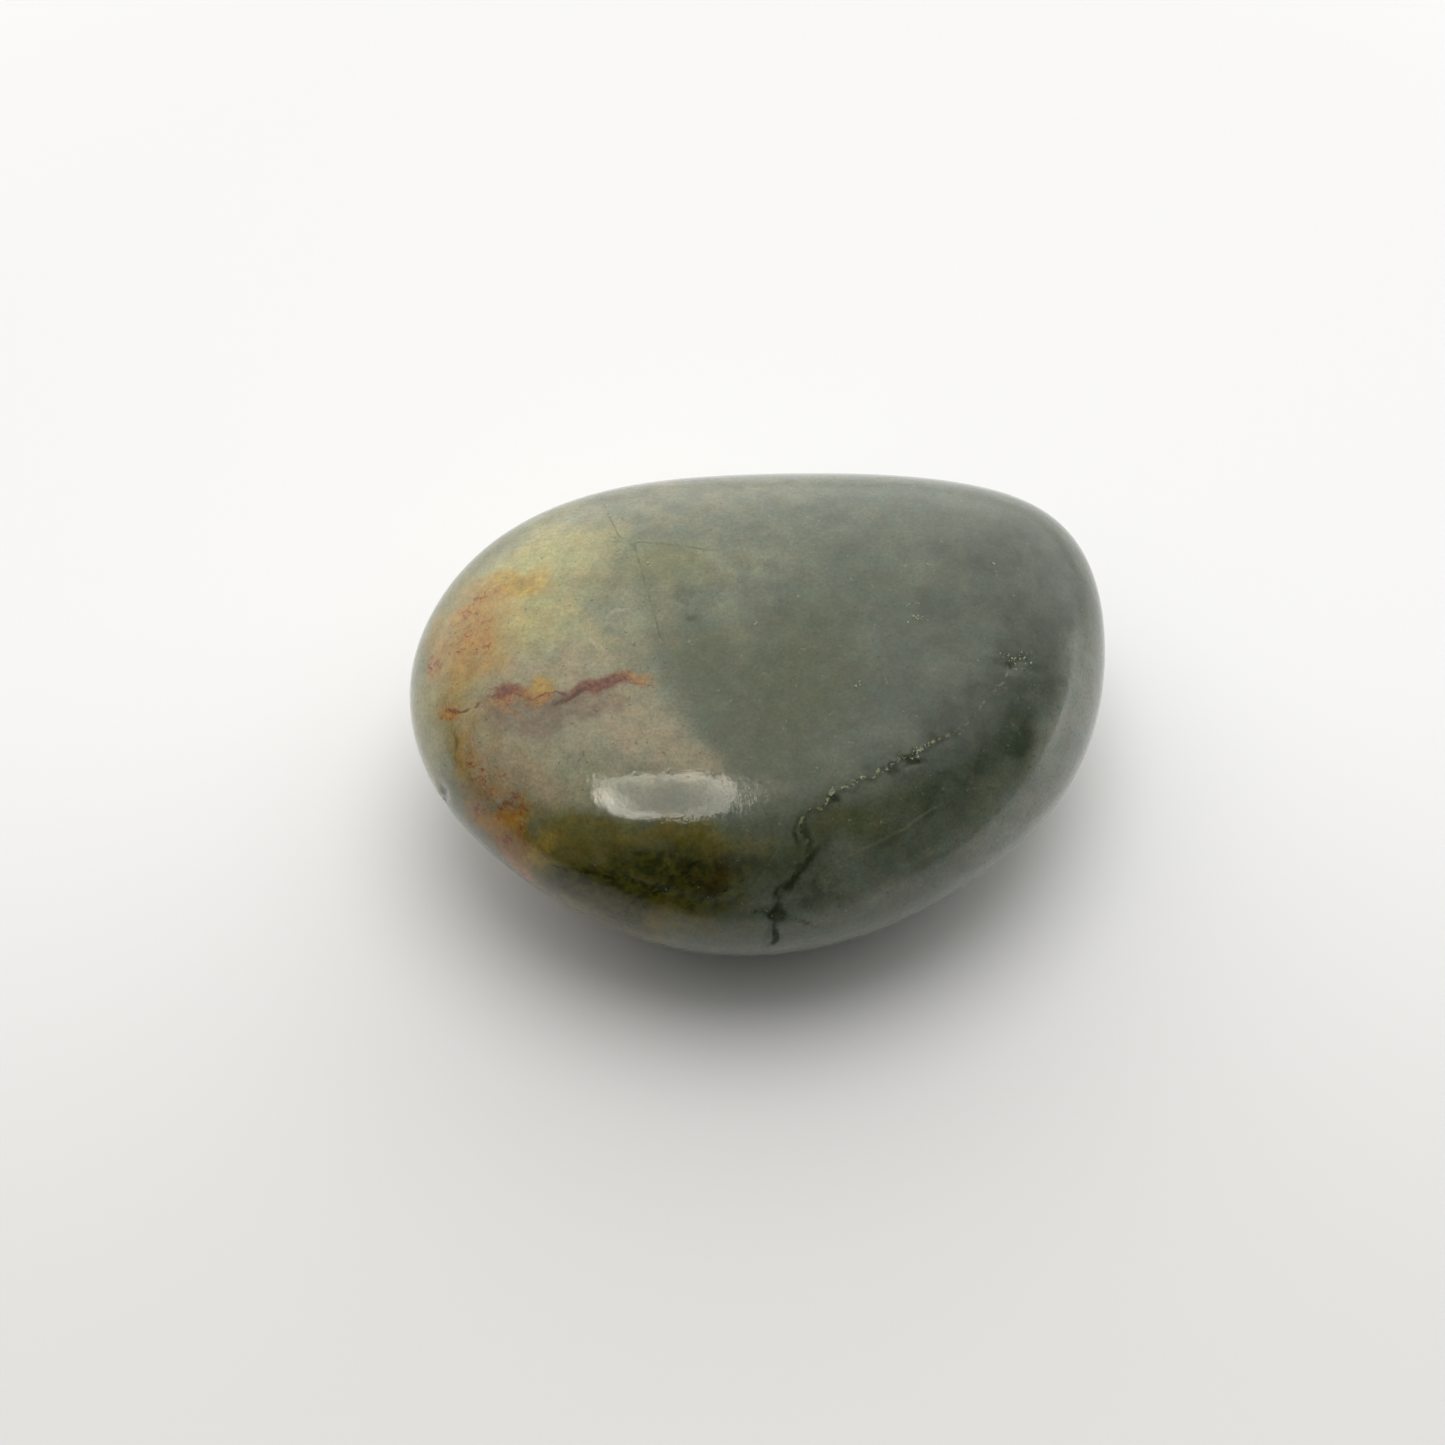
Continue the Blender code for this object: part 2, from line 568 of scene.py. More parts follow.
SEAM = Strand("seam", ((
    (1062, 560), (1058, 600), (1045, 640), (1018, 664), (1000, 684), (985, 700), (968, 722), (950, 734),
    (939, 738), (930, 742), (925, 748), (917, 750), (914, 757), (905, 758), (899, 761), (893, 762),
    (890, 768), (881, 770), (873, 777), (863, 776), (856, 780), (852, 787), (845, 786), (838, 790),
    (831, 791), (829, 798), (826, 804), (818, 809), (810, 811), (803, 817), (801, 830), (808, 842),
    (809, 856), (803, 867), (795, 874), (789, 886), (780, 895), (777, 906), (770, 914), (768, 928),
    (762, 948),
),), goes_round=True)
RUST_VEIN = Strand("rust_vein", ((
    (447, 710), (462, 713), (478, 705), (490, 697), (505, 691), (520, 697), (532, 699), (545, 694),
    (556, 692), (570, 697), (584, 691), (600, 683), (615, 679), (628, 682), (645, 685),
),))
HAIRLINES = Strand("hairlines", (
    ((612, 541), (640, 542), (670, 545), (700, 549), (722, 552)),
    ((600, 495), (608, 515), (618, 535), (635, 548), (643, 575), (652, 606), (660, 637)),
))
MOSS_THREADS = Strand("moss_threads", (
    ((620, 914), (632, 904), (645, 896), (668, 888), (690, 884)),
    ((560, 866), (590, 874), (620, 880), (650, 886), (676, 876), (700, 862)),
    ((690, 905), (705, 898), (722, 890)),
))
MILKY_STREAKS = Strand("milky_streaks", (
    ((606, 623), (609, 615), (617, 610), (633, 611)),
    ((548, 652), (566, 638), (590, 640), (606, 652)),
))
FINE_SEAM = Strand("fine_seam", ((
    (835, 862), (870, 846), (890, 836), (905, 828), (920, 817), (935, 808),
),))

BLOTS: dict[Tint | Region, dict[str, Blot]] = {
    Tint.DUSK: {
        "right of the middle": Blot((870, 680), 6.5, 4.5, 30.0, 0.35),
        "band end": Blot((1042, 630), 3.2, 1.5, 80.0, 3.0),
        "band bend": Blot((1030, 668), 2.0, 1.0, 62.0, 1.6),
        "band": Blot((984, 724), 3.0, 1.6, 38.0, 2.4),
        "band middle": Blot((925, 800), 3.2, 1.7, 30.0, 0.6),
        "under the crust": Blot((912, 772), 2.8, 0.6, 28.0, 0.55),
        "along the fine seam": Blot((890, 830), 2.4, 0.6, 28.0, 0.42),
        "at the far right": Blot((1016, 552), 4.2, 2.6, 15.0, 0.85),
        "over the pits": Blot((975, 620), 3.0, 1.6, 10.0, 0.4),
        "arc": Blot((840, 524), 1.6, 0.5, 10.0, 0.35),
        "band foot": Blot((828, 846), 1.9, 1.5, 50.0, 0.5),
        "by the moss": Blot((785, 868), 1.6, 1.6, 0.0, 0.6),
        "moss dot": Blot((674, 595), 0.42, 0.16, -65.0, 2.0, 1.0),
        "lower moss dot": Blot((688, 619), 0.3, 0.2, 0.0, 2.0, 1.0),
        "hidden far": HiddenBlot((55.0, -8.0), 5.0, 2.8, -30.0, 0.9),
        "hidden under": HiddenBlot((330.0, -65.0), 6.0, 4.0, 20.0, 0.8),
        "hidden far band": HiddenBlot((98.0, -22.0), 4.6, 1.0, 12.0, 0.8),
    },
    Tint.GREEN: {
        "tinge": Blot((645, 560), 3.2, 1.6, 0.0, 0.8),
        "at the crossing": Blot((612, 543), 0.6, 0.35, 0.0, 0.9, 2.0),
        "under the hairline": Blot((695, 561), 1.1, 0.7, -10.0, 0.9, 2.0),
        "beside the hairline": Blot((650, 576), 1.1, 0.8, 60.0, 0.8, 2.0),
        "by the mist": Blot((582, 778), 1.4, 0.45, 85.0, 0.7),
        "moss spot": Blot((556, 806), 0.8, 0.6, 80.0, 1.2),
        "hidden far": HiddenBlot((88.0, 0.0), 5.0, 2.5, 10.0, 0.6),
    },
    Tint.OLIVE: {
        "field": Blot((778, 698), 4.4, 2.8, 60.0, 1.25),
        "by the mist": Blot((702, 655), 2.8, 1.8, -30.0, 0.75),
        "under the crust": Blot((848, 822), 3.0, 1.5, 25.0, 1.0),
        "hidden under": HiddenBlot((90.0, -60.0), 4.0, 3.0, 0.0, 0.8),
        "hidden far": HiddenBlot((62.0, 4.0), 3.6, 2.0, 25.0, 1.0),
    },
    # The pale haze on the lower right wall: partly pale stone, partly a painted reflection of the white
    # table.
    Tint.HAZE_AND_TABLE_REFLECTION: {
        "pale right wall": Blot((1074, 732), 4.4, 2.0, 70.0, 1.1, 12.0),
        "pale under the fine seam": Blot((884, 884), 1.8, 0.8, 28.0, 0.55),
        "pale right foot": Blot((1012, 838), 5.0, 1.6, 34.0, 0.75, 12.0),
    },
    Tint.MIST: {
        "pale left body": Blot((515, 640), 8.0, 7.0, 80.0, 0.8, 8.0),
        "pale upper body": Blot((580, 530), 3.6, 2.0, 20.0, 0.22),
        "pale green cloud": Blot((622, 595), 2.6, 2.2, -30.0, 0.28),
        "pale upper middle": Blot((742, 553), 3.4, 1.6, 0.0, 0.42),
        "below the vein": Blot((532, 765), 2.6, 1.5, -35.0, 0.9),
        "cloud": Blot((735, 612), 1.4, 1.3, 30.0, 0.35),
        "pale middle": Blot((592, 722), 4.6, 2.7, -22.0, 0.7, 8.0),
        # The pale left and far rims: partly pale stone, partly a painted sheen where the edges mirror the
        # bright tent.
        "pale left rim and sheen": Blot((428, 735), 5.0, 2.4, 85.0, 0.9, 12.0),
        "pale far rim and sheen": Blot((700, 492), 8.0, 1.2, 5.0, 0.45, 12.0),
        "milky over the foot": Blot((562, 772), 1.5, 0.5, -38.0, 0.9),
        "hidden left": HiddenBlot((185.0, -25.0), 6.5, 5.0, 0.0, 0.9),
        "hidden far": HiddenBlot((140.0, 5.0), 6.0, 3.5, 10.0, 0.8),
        "hidden right": HiddenBlot((15.0, -25.0), 4.0, 2.5, 10.0, 0.45),
    },
    Tint.BEIGE: {
        "milky band": Blot((548, 660), 3.2, 0.8, 8.0, 0.55),
        "milky left": Blot((500, 650), 2.0, 1.6, 30.0, 0.45),
        "milky right": Blot((598, 658), 2.0, 1.0, 10.0, 0.55),
        "field": Blot((630, 735), 3.4, 1.7, -24.0, 1.05),
        "left": Blot((488, 735), 2.6, 2.0, -30.0, 0.85),
        "over the foot": Blot((515, 770), 2.4, 1.1, -30.0, 0.45),
        "tail": Blot((690, 758), 1.4, 0.9, -10.0, 0.55),
        "above the step": Blot((535, 790), 2.2, 0.9, -12.0, 1.0),
        "hidden under": HiddenBlot((160.0, -60.0), 4.0, 2.6, 60.0, 0.75),
        "hidden far": HiddenBlot((112.0, -16.0), 3.2, 1.1, -15.0, 0.7),
    },
    Tint.CREAM: {
        "cap": Blot((545, 556), 3.3, 1.9, 25.0, 0.8),
        "flank": Blot((500, 590), 3.2, 1.8, 40.0, 0.6),
        "pool": Blot((545, 615), 2.2, 1.4, 20.0, 0.7),
        "streak": Blot((590, 638), 1.8, 0.5, -15.0, 0.45),
        # The paler, warmer left rim: partly cream stone, partly a painted sheen of the edge.
        "left rim": Blot((425, 715), 3.6, 1.2, 85.0, 0.45, 12.0),
        "hidden far": HiddenBlot((128.0, 12.0), 3.6, 1.8, -20.0, 0.7),
    },
    Tint.PEACH: {
        "field": Blot((478, 628), 2.6, 2.2, 30.0, 0.9),
        "below": Blot((455, 680), 2.0, 1.2, 60.0, 0.6),
        "under the vein": Blot((480, 722), 1.4, 1.2, 0.0, 0.4),
        "hidden far": HiddenBlot((150.0, -8.0), 3.0, 1.6, 20.0, 0.7),
    },
    Tint.BRONZE: {
        "column": Blot((488, 775), 2.2, 0.8, -60.0, 0.22),
        "left line": Blot((457, 752), 2.4, 0.5, -85.0, 0.42),
        "low wall": Blot((605, 900), 5.0, 1.6, -14.0, 1.3, 10.0),
        "flank": Blot((572, 856), 3.0, 1.8, -10.0, 1.0, 8.0),
        "left": Blot((515, 850), 1.7, 1.3, -40.0, 0.7, 8.0),
        "under the lamp": Blot((684, 838), 5.2, 0.9, 0.0, 0.8, 8.0),
        "beside the lamp": Blot((592, 820), 1.8, 0.6, 0.0, 0.7, 8.0),
    },
    Tint.OCHRE: {
        "yellow streak": Blot((518, 583), 1.6, 0.6, 8.0, 1.0),
        "yellow rim": Blot((478, 598), 1.4, 0.5, 55.0, 0.45),
        "yellow at the vein": Blot((547, 685), 0.7, 0.5, 60.0, 1.3, 2.0),
        "yellow beside the vein": Blot((532, 696), 0.6, 0.4, 10.0, 0.9, 2.0),
        "yellow left column": Blot((464, 760), 2.2, 0.8, -75.0, 0.6),
        "at the foot": Blot((540, 852), 1.4, 1.1, 10.0, 0.62),
        "lower left": Blot((500, 818), 1.4, 0.7, 5.0, 0.75),
        "hidden left": HiddenBlot((200.0, -28.0), 3.4, 2.0, 40.0, 0.6),
    },
    Tint.MAUVE: {
        "purple line": Blot((573, 696), 1.5, 0.38, 18.0, 1.5, 2.5),
        "brown haze": Blot((520, 713), 2.0, 0.6, 8.0, 0.75, 2.5),
        "shade": Blot((555, 712), 2.6, 0.7, 12.0, 0.95),
        "vein": Blot((590, 694), 1.6, 0.5, 15.0, 0.5),
        "haze": Blot((588, 716), 1.6, 0.6, 10.0, 0.85),
    },
    Tint.RUST: {
        "orange at the vein": Blot((530, 699), 1.0, 0.5, 5.0, 0.95, 2.5),
        "orange tail": Blot((635, 683), 1.0, 0.36, -5.0, 1.0, 2.5),
        "orange under the vein": Blot((512, 706), 1.2, 0.35, 0.0, 0.6, 2.5),
        "patch": Blot((466, 640), 1.8, 1.4, 40.0, 0.62),
        "speckle": Blot((482, 600), 1.2, 0.9, 40.0, 0.4),
        "rim": Blot((433, 668), 1.0, 0.35, 80.0, 0.7),
        "knot": Blot((449, 706), 0.65, 0.5, 0.0, 1.0),
        "column": Blot((482, 772), 2.2, 0.9, -65.0, 0.5),
        "foot": Blot((510, 848), 2.0, 0.8, -60.0, 0.9, 8.0),
        "above the foot": Blot((500, 812), 1.2, 0.45, 10.0, 0.6),
        "toe": Blot((530, 872), 0.8, 0.5, -30.0, 0.7),
        "hidden left": HiddenBlot((205.0, -30.0), 3.0, 1.6, 30.0, 0.6),
        "hidden far": HiddenBlot((152.0, -4.0), 2.4, 1.0, 30.0, 0.6),
        "hidden far spot": HiddenBlot((118.0, -6.0), 1.1, 0.6, 35.0, 0.7),
    },
    Tint.MAROON: {
        "at the left": Blot((509, 696), 0.95, 0.45, -8.0, 1.2, 2.5),
        "at the right": Blot((606, 688), 1.05, 0.46, 10.0, 1.4, 2.5),
        "between": Blot((578, 692), 0.9, 0.26, 20.0, 1.0, 2.5),
    },
    Tint.MOSS: {
        "field": Blot((682, 872), 4.0, 1.6, 2.0, 0.98),
        "left": Blot((604, 882), 2.4, 1.2, 0.0, 0.85),
        "foot": Blot((695, 906), 2.8, 0.7, 5.0, 0.5),
        "edge": Blot((742, 866), 1.6, 1.7, 10.0, 0.28),
        "tail": Blot((640, 906), 2.4, 0.8, 15.0, 0.9),
        "toe": Blot((575, 886), 1.8, 0.8, -15.0, 0.55),
        "at the chip": Blot((448, 804), 0.42, 0.26, -50.0, 1.5, 1.5),
        "hidden under": HiddenBlot((250.0, -48.0), 3.6, 2.0, 35.0, 0.8),
    },
    Tint.UMBER: {
        "purple heart": Blot((574, 696), 0.9, 0.13, 14.0, 1.1, 2.0),
        "left line": Blot((457, 742), 1.3, 0.12, -85.0, 0.65),
        "at the knot": Blot((463, 728), 0.6, 0.14, -50.0, 0.6),
        "heart": Blot((705, 872), 2.4, 0.9, 15.0, 0.7),
        "hidden under": HiddenBlot((235.0, -55.0), 2.0, 1.0, 20.0, 0.6),
    },
    # The dark shade along the seam: partly dark crack fill and branches, partly painted shade in the crack.
    Tint.CRACK_FILL_AND_SHADE: {
        "dark under the crust": Blot((905, 764), 0.5, 0.2, 20.0, 1.3, 1.5),
        "dark at the notch": Blot((838, 798), 0.4, 0.26, 60.0, 1.3, 1.5),
        "dark at the corner": Blot((805, 830), 0.8, 0.15, -80.0, 0.9, 1.5),
        "dark below the corner": Blot((814, 860), 0.9, 0.26, 10.0, 0.8, 1.5),
        "dark right of the line": Blot((820, 888), 1.1, 0.7, 20.0, 0.55, 1.5),
        "dark beside the line": Blot((797, 874), 0.7, 0.2, 50.0, 0.9, 1.5),
        "dark down the line": Blot((785, 894), 0.8, 0.15, 62.0, 1.2, 1.5),
        "dark patch on the wall": Blot((775, 918), 0.65, 0.36, 10.0, 1.4, 1.5),
        "dark end of the line": Blot((766, 940), 0.7, 0.2, 75.0, 1.5, 1.5),
        "dark branch left": Blot((750, 923), 0.55, 0.11, 25.0, 0.9, 1.5),
        "dark branch right": Blot((806, 921), 0.75, 0.1, -5.0, 0.8, 1.5),
    },
    Region.CRUST: {
        "crust": Blot((872, 778), 4.2, 1.6, 30.0, 1.5),
        "at the pits": Blot((1000, 682), 1.6, 0.6, 45.0, 0.5),
        "hidden": HiddenBlot((15.0, -16.0), 2.4, 3.2, 0.0, 0.9),
    },
    # Where the painted shadow beside the crust, and the crack's own dark line, are strong.
    Region.SHADOWED_GAP: {
        "below the crust": Blot((880, 780), 4.0, 1.5, 30.0, 0.8),
        "down the wall": Blot((792, 880), 4.2, 1.6, 70.0, 0.9),
        "hidden right": HiddenBlot((14.0, -10.0), 4.0, 4.5, 0.0, 0.85),
        "hidden": HiddenBlot((320.0, -60.0), 6.0, 4.0, 0.0, 0.9),
    },
    Region.PITS: {
        "pit cluster": Blot((1016, 661), 0.55, 0.45, 0.0, 1.3, 1.5),
        "small pit": Blot((968, 656), 0.25, 0.2, 0.0, 0.9, 1.5),
        "in the crust": Blot((912, 756), 1.3, 0.3, 25.0, 0.8, 1.5),
    },
    Region.CHIP: {
        "chip": Blot((446, 803), 0.38, 0.3, -50.0, 1.0, 1.2),
    },
}


class SkinMarks:
    """All that is laid on the skin: the tints' weights and the lines' distances at each corner.

    The places are stirred before the blots weigh them, so that no blot keeps a drawn edge. Each stir
    has a wavelength, how far it carries and the number of its first random field.
    """

    STRANDS = (SEAM, RUST_VEIN, HAIRLINES, MOSS_THREADS, MILKY_STREAKS, FINE_SEAM)
    STIRS = ((5.0, 0.28, 11), (1.6, 0.12, 21))
    MOST = 0.999

    def __init__(self, points: np.ndarray, sight: Sightline) -> None:
        """Weigh every blot and follow every strand at these points.

        Args:
            points: Rows of places on the smooth form.
            sight: The camera's line and the skin.
        """
        normals, stirred = sight.skin.normals(points), points
        for wavelength, carry, seed in self.STIRS:
            fields = [swirl(points, wavelength, number) for number in range(seed, seed + 3)]
            stirred = stirred + carry * np.stack(fields, axis=1)
        self.weights = {}
        for layer, blots in BLOTS.items():
            bare = np.ones(len(points))
            for blot in blots.values():
                bare *= 1.0 - np.minimum(blot.weigh(stirred, sight), self.MOST)
            self.weights[layer] = 1.0 - bare
        self.lines = {strand.name: strand.follow(points, normals, sight) for strand in self.STRANDS}

    def write(self, piece: bpy.types.Object) -> None:
        """Keep the weights and the distances on the piece.

        Args:
            piece: The piece with these points as its corners.
        """
        for layer, weight in self.weights.items():
            write_layer(piece, layer.value, weight)
        for name, measure in self.lines.items():
            write_layer(piece, name, measure)


@dataclass(frozen=True)
class Cloud:
    """A stepped cloudy noise: its waves to the millimetre, its octaves, its step and how rough it is."""

    waves: float
    octaves: float
    ramp: Ramp
    rough: float = 0.5
    warp: float = 0.0


class NodeBench:
    """Lays out and links the nodes of one node tree."""

    def __init__(self, tree: bpy.types.NodeTree) -> None:
        """Work on this tree."""
        self.tree = tree

    @classmethod
    def cover(cls, name: str) -> tuple[bpy.types.Material, "NodeBench", bpy.types.Node]:
        """A new material of this name, the bench that works on it, and its shader.

        Args:
            name: The material's name.

        Returns:
            The material, the bench and the shader.
        """
        material = bpy.data.materials.new(name)
        material.use_nodes = True
        return material, cls(material.node_tree), material.node_tree.nodes["Principled BSDF"]

    def add(self, kind: str, **settings: object) -> bpy.types.Node:
        """A new node of this kind, with these properties set.

        Args:
            kind: The node's type.
            settings: Its properties by name.

        Returns:
            The node.
        """
        node = self.tree.nodes.new(kind)
        for name, value in settings.items():
            setattr(node, name, value)
        return node

    def feed(self, socket: Socket, value: object) -> None:
        """Link a socket into this one, or set it to a plain value.

        Args:
            socket: The socket that takes it.
            value: A socket, a number, a vector or a colour.
        """
        if isinstance(value, bpy.types.NodeSocket):
            self.tree.links.new(value, socket)
        elif isinstance(value, tuple) and socket.type == "RGBA":
            socket.default_value = (*value[:3], 1.0)
        else:
            socket.default_value = value

    def dress(self, node: bpy.types.Node, **values: object) -> bpy.types.Node:
        """Feed the node's sockets by name, with _ for each space, and hand the node back.

        Args:
            node: The node.
            values: What each socket takes.

        Returns:
            The same node.
        """
        for name, value in values.items():
            self.feed(node.inputs[name.replace("_", " ")], value)
        return node

    def math(self, operation: str, *values: object) -> Socket:
        """One arithmetic step.

        Args:
            operation: Which step.
            values: What goes in, in order.

        Returns:
            The result.
        """
        node = self.add("ShaderNodeMath", operation=operation)
        for socket, value in zip(node.inputs, values):
            self.feed(socket, value)
        return node.outputs["Value"]

    def times(self, first: Socket, *others: object) -> Socket:
        """The product of all these.

        Args:
            first: The first factor.
            others: The other factors.

        Returns:
            The product.
        """
        for other in others:
            first = self.math("MULTIPLY", first, other)
        return first

    def vector(self, operation: str, *values: object) -> bpy.types.Node:
        """The node of one vector step.

        Args:
            operation: Which step.
            values: What goes in, in order.

        Returns:
            The node.
        """
        node = self.add("ShaderNodeVectorMath", operation=operation)
        for socket, value in zip(node.inputs, values):
            self.feed(socket, value)
        return node

    def step(self, value: Socket, low: float, high: float, bottom: float = 0.0, top: float = 1.0) -> Socket:
        """A smooth step from bottom to top while the value goes from low to high.

        Args:
            value: What is stepped.
            low: Where the step starts.
            high: Where it ends.
            bottom: What it gives before.
            top: What it gives after.

        Returns:
            The result.
        """
        node = self.add("ShaderNodeMapRange", interpolation_type="SMOOTHSTEP")
        for socket, entry in zip(node.inputs, (value, low, high, bottom, top)):
            self.feed(socket, entry)
        return node.outputs["Result"]

    def noise(
        self, place: Socket, waves: float, octaves: float, rough: float = 0.5, warp: float = 0.0
    ) -> Socket:
        """Cloudy noise around one half, with this many waves to the millimetre.

        Args:
            place: Coordinates.
            waves: Waves to the millimetre.
            octaves: How many finer layers are added.
            rough: How strong each finer layer is.
            warp: How far the noise is bent by itself.

        Returns:
            The noise.
        """
        node = self.add("ShaderNodeTexNoise")
        self.dress(node, Vector=place, Scale=waves, Detail=octaves, Roughness=rough, Distortion=warp)
        return node.outputs["Fac"]

    def stray(self, place: Socket, waves: float, octaves: float, rough: float) -> Socket:
        """The same noise around 0."""
        return self.math("SUBTRACT", self.noise(place, waves, octaves, rough), 0.5)

    def cloud(self, place: Socket, cloud: Cloud) -> Socket:
        """A stepped cloudy noise."""
        return self.step(self.noise(place, cloud.waves, cloud.octaves, cloud.rough, cloud.warp), *cloud.ramp)

    def mix(self, share: object, under: object, over: object, blend: str = "MIX") -> Socket:
        """One colour over another.

        Args:
            share: How much of the upper one.
            under: The lower colour.
            over: The upper colour.
            blend: How they are combined.

        Returns:
            The colour.
        """
        node = self.add("ShaderNodeMix", data_type="RGBA", blend_type=blend)
        for name, value in (("Factor_Float", share), ("A_Color", under), ("B_Color", over)):
            self.feed(next(s for s in node.inputs if s.identifier == name), value)
        return next(s for s in node.outputs if s.identifier == "Result_Color")

    def layer(self, name: str, part: str = "Fac") -> Socket:
        """What a layer of the mesh holds: its value, or its Vector."""
        return self.add("ShaderNodeAttribute", attribute_name=name).outputs[part]

    def parts(self, vector: Socket) -> bpy.types.NodeOutputs:
        """A vector's X, Y and Z.

        Args:
            vector: The vector.

        Returns:
            The three sockets, by name.
        """
        node = self.add("ShaderNodeSeparateXYZ")
        self.feed(node.inputs[0], vector)
        return node.outputs

    def place(self) -> Socket:
        """The place on the object, in metres."""
        return self.add("ShaderNodeTexCoord").outputs["Object"]


@dataclass(frozen=True)
class Stain:
    """How one tint looks: its two shades, how fine and ragged its edge is, and how much it covers."""

    shade: Rgb
    other: Rgb
    grain: float
    ragged: float
    soft: float
    cover: float


STAINS = {
    Tint.DUSK: Stain((0.027, 0.039, 0.023), (0.048, 0.058, 0.040), 0.5, 0.9, 0.50, 0.85),
    Tint.GREEN: Stain((0.130, 0.155, 0.050), (0.110, 0.135, 0.052), 0.6, 0.8, 0.50, 0.65),
    Tint.OLIVE: Stain((0.066, 0.074, 0.032), (0.084, 0.090, 0.044), 0.5, 0.7, 0.50, 0.75),
    # The pale haze: partly pale chalcedony, partly a painted reflection of the white table on the right wall.
    Tint.HAZE_AND_TABLE_REFLECTION: Stain((0.210, 0.225, 0.200), (0.185, 0.200, 0.175), 0.4, 0.3, 0.50, 0.85),
    Tint.MIST: Stain((0.320, 0.300, 0.193), (0.258, 0.250, 0.165), 0.5, 0.5, 0.50, 0.85),
    Tint.BEIGE: Stain((0.330, 0.270, 0.175), (0.270, 0.225, 0.145), 0.8, 0.5, 0.50, 0.85),
    Tint.CREAM: Stain((0.395, 0.360, 0.168), (0.345, 0.312, 0.145), 0.6, 0.5, 0.50, 0.88),
    Tint.PEACH: Stain((0.380, 0.245, 0.060), (0.330, 0.198, 0.044), 0.9, 0.6, 0.50, 0.88),
    Tint.BRONZE: Stain((0.158, 0.122, 0.025), (0.105, 0.096, 0.021), 0.9, 0.8, 0.45, 0.92),
    Tint.OCHRE: Stain((0.420, 0.270, 0.045), (0.300, 0.180, 0.035), 1.2, 1.0, 0.40, 0.80),
    Tint.MAUVE: Stain((0.110, 0.064, 0.042), (0.165, 0.108, 0.070), 1.2, 0.9, 0.45, 0.62),
    Tint.RUST: Stain((0.290, 0.110, 0.022), (0.360, 0.180, 0.032), 1.6, 1.2, 0.45, 0.70),
    Tint.MAROON: Stain((0.105, 0.022, 0.014), (0.190, 0.068, 0.034), 2.4, 0.9, 0.35, 0.84),
    Tint.MOSS: Stain((0.018, 0.021, 0.001), (0.062, 0.057, 0.005), 0.9, 0.9, 0.42, 0.92),
    Tint.UMBER: Stain((0.018, 0.010, 0.002), (0.040, 0.024, 0.006), 1.0, 1.2, 0.42, 0.75),
    # The dark shade: partly dark crack fill, partly painted shade.
    Tint.CRACK_FILL_AND_SHADE: Stain((0.018, 0.022, 0.010), (0.034, 0.040, 0.022), 1.6, 1.1, 0.40, 0.88),
}


@dataclass(frozen=True)
class Inlay:
    """How a strand is drawn: how far and finely it strays, its half width, its breaks and its colour.

    It fades out where the distance without sign passes twice its half width by the fades.
    """

    strand: Strand
    stray: float
    waves: float
    width: float
    breaks: Cloud
    colour: Rgb
    octaves: float = 4.0
    rough: float = 0.65
    fades: tuple[float, float] = (0.25, 0.45)
    edge: tuple[float, float] = (0.5, 1.5)

    def draw(self, bench: NodeBench, place: Socket) -> tuple[Socket, Socket, Socket]:
        """The line's cover from its signed distance, made jagged by noise.

        Args:
            bench: Where the nodes go.
            place: Coordinates in millimetres.

        Returns:
            The cover, the strayed distance across the line, and the distance without sign.
        """
        measure = bench.parts(bench.layer(self.strand.name, "Vector"))
        stray = bench.stray(place, self.waves, self.octaves, self.rough)
        across = bench.math("MULTIPLY_ADD", stray, self.stray, measure["X"])
        ends, edge = (2.0 * self.width + end for end in self.fades), (self.width * end for end in self.edge)
        near = bench.step(measure["Y"], *ends, 1.0, 0.0)
        body = bench.step(bench.math("ABSOLUTE", across), *edge, 1.0, 0.0)
        return bench.times(body, near), across, measure["Y"]


INLAYS = (
    Inlay(RUST_VEIN, 0.55, 1.6, 0.07, Cloud(1.8, 4.0, (0.38, 0.58, 0.05, 0.70)), (0.085, 0.030, 0.022)),
    Inlay(MILKY_STREAKS, 0.40, 1.5, 0.11, Cloud(1.6, 2.0, (0.40, 0.60, 0.05, 0.30)), (0.380, 0.370, 0.290)),
    Inlay(HAIRLINES, 0.15, 2.5, 0.05, Cloud(1.2, 2.0, (0.40, 0.60, 0.05, 0.50)), (0.060, 0.072, 0.018)),
    Inlay(MOSS_THREADS, 0.70, 1.5, 0.13, Cloud(2.2, 2.0, (0.40, 0.58, 0.10, 0.85)), (0.010, 0.014, 0.002)),
    Inlay(FINE_SEAM, 0.20, 1.5, 0.08, Cloud(1.6, 2.0, (0.35, 0.65, 0.30, 0.30)), (0.160, 0.185, 0.130)),
)
CRUST_INLAY = Inlay(SEAM, 0.55, 2.0, 0.07, Cloud(3.5, 2.0, (0.48, 0.62, 0.0, 1.0)), (0.240, 0.260, 0.150))


@dataclass(frozen=True)
class Speckle:
    """Grains of one colour: where the noise makes them and how strong they are."""

    cloud: Cloud
    colour: Rgb


